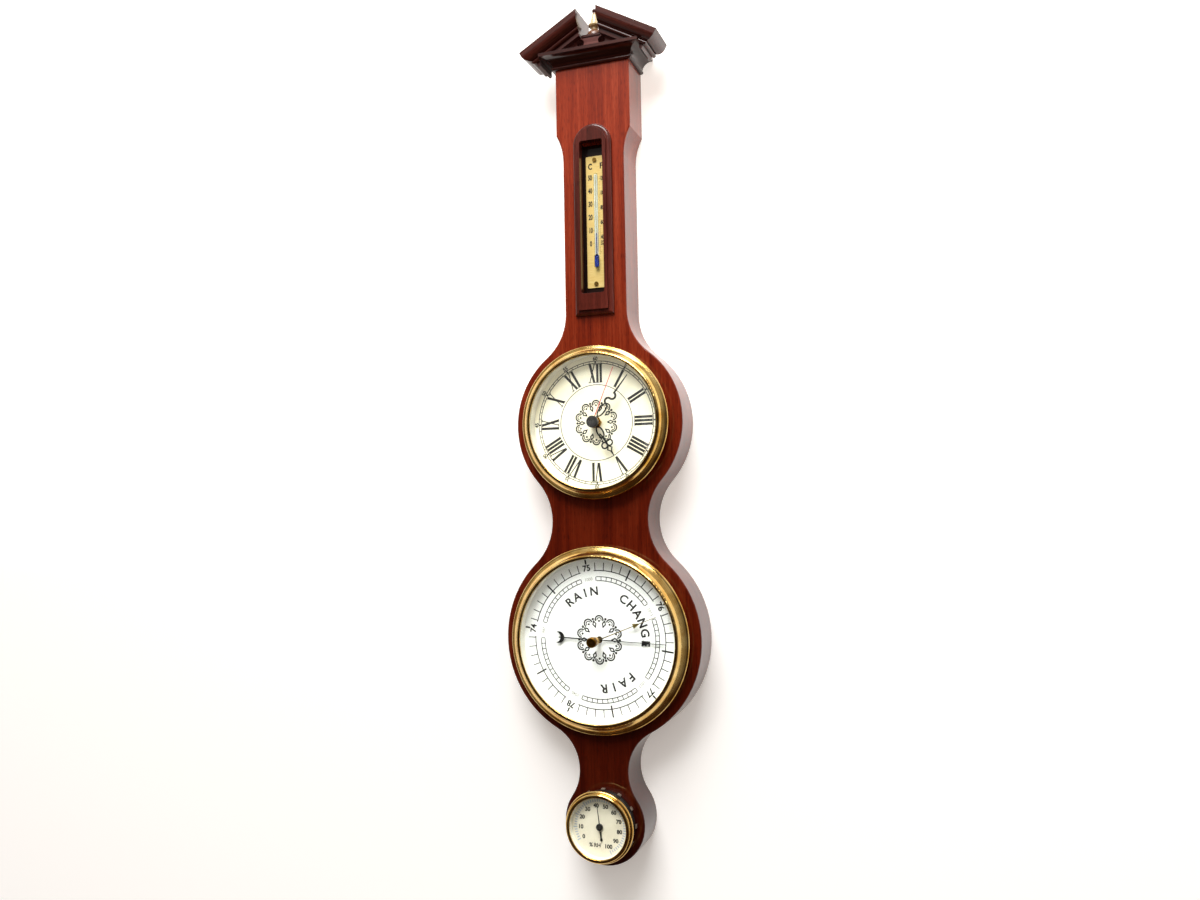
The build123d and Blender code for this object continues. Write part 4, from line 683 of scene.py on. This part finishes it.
scale_print = []
for letter, x in (("C", -4.4), ("F", 6.2)):
    scale_print.append(figures(letter, LETTER_SIZE, x, LETTER_Z, LETTER_WEIGHT, LETTER_NARROW))
for celsius in range(-10, 51):
    level = FREEZING + celsius * DEGREE
    reach = 2.2 if celsius % 10 == 0 else 1.2
    scale_print.append(stroke(reach, level - TICK / 2, level + TICK / 2, CELSIUS_EDGE - reach / 2))
    if celsius >= 0 and celsius % 10 == 0:
        scale_print.append(figures(str(celsius), size=6.6, x=-4.7, y=level, weight=0.26, narrow=0.58))
for fahrenheit in range(14, 123, 2):
    level = level_of(fahrenheit)
    reach = 1.6 if fahrenheit % 20 == 0 or fahrenheit == 32 else 0.9
    scale_print.append(stroke(reach, level - TICK / 2, level + TICK / 2, FAHRENHEIT_EDGE + reach / 2))
for fahrenheit in (32, 40, 60, 80, 100, 120):
    squeeze = 0.36 if fahrenheit >= 100 else 0.55
    level = level_of(fahrenheit)
    scale_print.append(figures(str(fahrenheit), size=5.4, x=6.6, y=level, weight=0.22, narrow=squeeze))
lay_on_dial("thermometer_print", scale_print, SCALE_FACE, 0.0, black_ink)


def tube_backing():
    """The white enamelled strip behind the tube, with rounded ends and softened edges."""
    width, depth, length = 2.2, 0.6, 77.0
    tube_x, strip_z, lift = 1.8, -116.5, 0.5
    bpy.ops.mesh.primitive_cube_add(size=MM)
    strip = bpy.context.object
    strip.name = "tube_backing"
    bpy.ops.object.mode_set(mode="EDIT")
    bpy.ops.transform.resize(value=(width, depth, length), center_override=(0, 0, 0))
    bpy.ops.transform.translate(value=(tube_x * MM, -(SCALE_FACE + lift) * MM, strip_z * MM))
    bpy.ops.object.mode_set(mode="OBJECT")
    for name, radius, angle in (("ends", 0.9, 85.0), ("edges", 0.12, 50.0)):
        rounding = strip.modifiers.new(name, "BEVEL")
        rounding.width = radius * MM
        rounding.segments = 3
        rounding.limit_method = "ANGLE"
        rounding.angle_limit = math.radians(angle)
        bpy.ops.object.modifier_apply(modifier=name)
    strip.data.materials.append(white_enamel)
    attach(strip, "case")


tube_backing()


# The wall, the light and the camera, in metres

def hang_wall():
    """A plain white wall, clear from behind, so that the back of the case can be seen and lit."""
    bpy.ops.mesh.primitive_plane_add(size=20.0, location=(0, 0.5 * MM, -0.4), rotation=(math.pi / 2, 0, 0))
    wall = bpy.context.object
    wall.name = "white_wall"
    made, tree = new_finish("matt white wall paint")
    side = add(tree, "ShaderNodeNewGeometry", {})
    path = add(tree, "ShaderNodeLightPath", {})
    seen = path.outputs["Is Camera Ray"]
    for ray in ("Is Glossy Ray", "Is Transmission Ray"):
        seen = add(tree, "ShaderNodeMath", {0: seen, 1: path.outputs[ray]}, operation="MAXIMUM").outputs[0]
    # Painted light: the wall glows for camera, gloss and transmission rays, more strongly higher up, washing
    # out the case's cast shadow near the top; the glow is faintly warm, which warms the shadows lower down.
    parts = add(tree, "ShaderNodeSeparateXYZ", {"Vector": side.outputs["Position"]})
    rise = add(tree, "ShaderNodeMapRange", {"Value": parts.outputs["Z"], "From Min": -0.45, "From Max": -0.15,
                                            "To Min": 0.33, "To Max": 0.7})
    glow = add(tree, "ShaderNodeMath", {0: seen, 1: rise.outputs["Result"]}, operation="MULTIPLY")
    matt = add(tree, "ShaderNodeBsdfDiffuse", {"Color": linear("#F5F4F2")})
    lift = add(tree, "ShaderNodeEmission", {"Color": linear("#FFF4EA"), "Strength": glow.outputs[0]})
    both = add(tree, "ShaderNodeAddShader", {0: matt.outputs["BSDF"], 1: lift.outputs["Emission"]})
    clear = add(tree, "ShaderNodeBsdfTransparent", {})
    behind = add(tree, "ShaderNodeMath", {0: path.outputs["Transparent Depth"], 1: 0.5},
                 operation="GREATER_THAN")
    lamplight = add(tree, "ShaderNodeMath", {0: behind.outputs[0], 1: path.outputs["Is Shadow Ray"]},
                    operation="MULTIPLY")
    gone = add(tree, "ShaderNodeMath", {0: side.outputs["Backfacing"], 1: lamplight.outputs[0]},
               operation="MAXIMUM")
    shader = add(tree, "ShaderNodeMixShader", {0: gone.outputs[0], 1: both.outputs["Shader"],
                                               2: clear.outputs["BSDF"]})
    add(tree, "ShaderNodeOutputMaterial", {"Surface": shader.outputs["Shader"]})
    wall.data.materials.append(made)


def soft_lamp(name, place, aim, size, watts):
    """One large soft lamp, aimed at a point."""
    bpy.ops.object.light_add(type="AREA", location=place)
    lamp = bpy.context.object
    lamp.name = name
    lamp.data.shape = "RECTANGLE"
    lamp.data.size = size
    lamp.data.size_y = size
    lamp.data.energy = watts
    away = [p - a for p, a in zip(place, aim)]
    tilt = math.atan2(math.hypot(away[0], away[1]), away[2])
    lamp.rotation_euler = (tilt, 0, math.atan2(away[0], -away[1]))
    return lamp


def quiet_room():
    """A dim room with bright far sides and a pale ceiling, seen in the gloss. Its backdrop is white."""
    world = bpy.data.worlds.new("quiet_room")
    world.use_nodes = True
    bpy.context.scene.world = world
    tree = world.node_tree
    tree.nodes.clear()
    direction = add(tree, "ShaderNodeTexCoord", {})
    parts = add(tree, "ShaderNodeSeparateXYZ", {"Vector": direction.outputs["Generated"]})
    rise = add(tree, "ShaderNodeMapRange", {"Value": parts.outputs["Z"], "From Min": -1.0, "From Max": 1.0})
    room = add(tree, "ShaderNodeValToRGB", {"Fac": rise.outputs["Result"]},
               stops=((0.0, "#5A4432"), (1.0, "#FFFFFF"), (0.45, "#2E2620"), (0.55, "#342E2A"),
                      (0.62, "#6E6862"), (0.70, "#C8C4C0")))
    sideways = add(tree, "ShaderNodeMath", {0: parts.outputs["X"]}, operation="ABSOLUTE")
    window_side = add(tree, "ShaderNodeMapRange", {"Value": sideways.outputs[0], "From Min": 0.45,
                                                   "From Max": 0.95, "To Max": 0.6})
    sided = add(tree, "ShaderNodeMix", {0: window_side.outputs["Result"], 6: room.outputs["Color"],
                                        7: linear("#E8E4DE")}, data_type="RGBA")
    backdrop = add(tree, "ShaderNodeBackground", {"Color": sided.outputs[2], "Strength": 0.65})
    plain = add(tree, "ShaderNodeBackground", {"Color": linear("#FFFFFF")})
    path = add(tree, "ShaderNodeLightPath", {})
    either = add(tree, "ShaderNodeMixShader", {0: path.outputs["Is Camera Ray"],
                                               1: backdrop.outputs["Background"],
                                               2: plain.outputs["Background"]})
    add(tree, "ShaderNodeOutputWorld", {"Surface": either.outputs["Shader"]})


def place_viewer():
    """A camera at the photograph's viewing angle."""
    lens = bpy.data.cameras.new("viewer")
    lens.lens = 30.33
    lens.sensor_width = 36.0
    lens.sensor_fit = "HORIZONTAL"
    viewer = bpy.data.objects.new("viewer", lens)
    bpy.context.collection.objects.link(viewer)
    right = (0.9415, 0.3367, -0.0175)
    up = (0.0377, -0.0536, 0.9979)
    backward = (0.3350, -0.9401, -0.0632)
    place = (0.3064, -0.8915, -0.3890)
    viewer.matrix_world = Matrix(list(zip(right, up, backward, place)) + [(0, 0, 0, 1)])
    bpy.context.scene.camera = viewer


hang_wall()
soft_lamp("window_lamp", place=(0.05, -2.1, 2.4), aim=(0.0, 0.0, -0.4), size=2.0, watts=142.0)
fill = soft_lamp("fill_lamp", place=(0.45, -1.2, -0.1), aim=(0.0, 0.0, -0.4), size=0.8, watts=2.0)
fill.visible_glossy = False
soft_lamp("rear_lamp", place=(0.5, 1.9, 0.5), aim=(0.0, 0.0, -0.35), size=1.4, watts=60.0)
quiet_room()
place_viewer()
bpy.context.scene.view_settings.view_transform = "Standard"
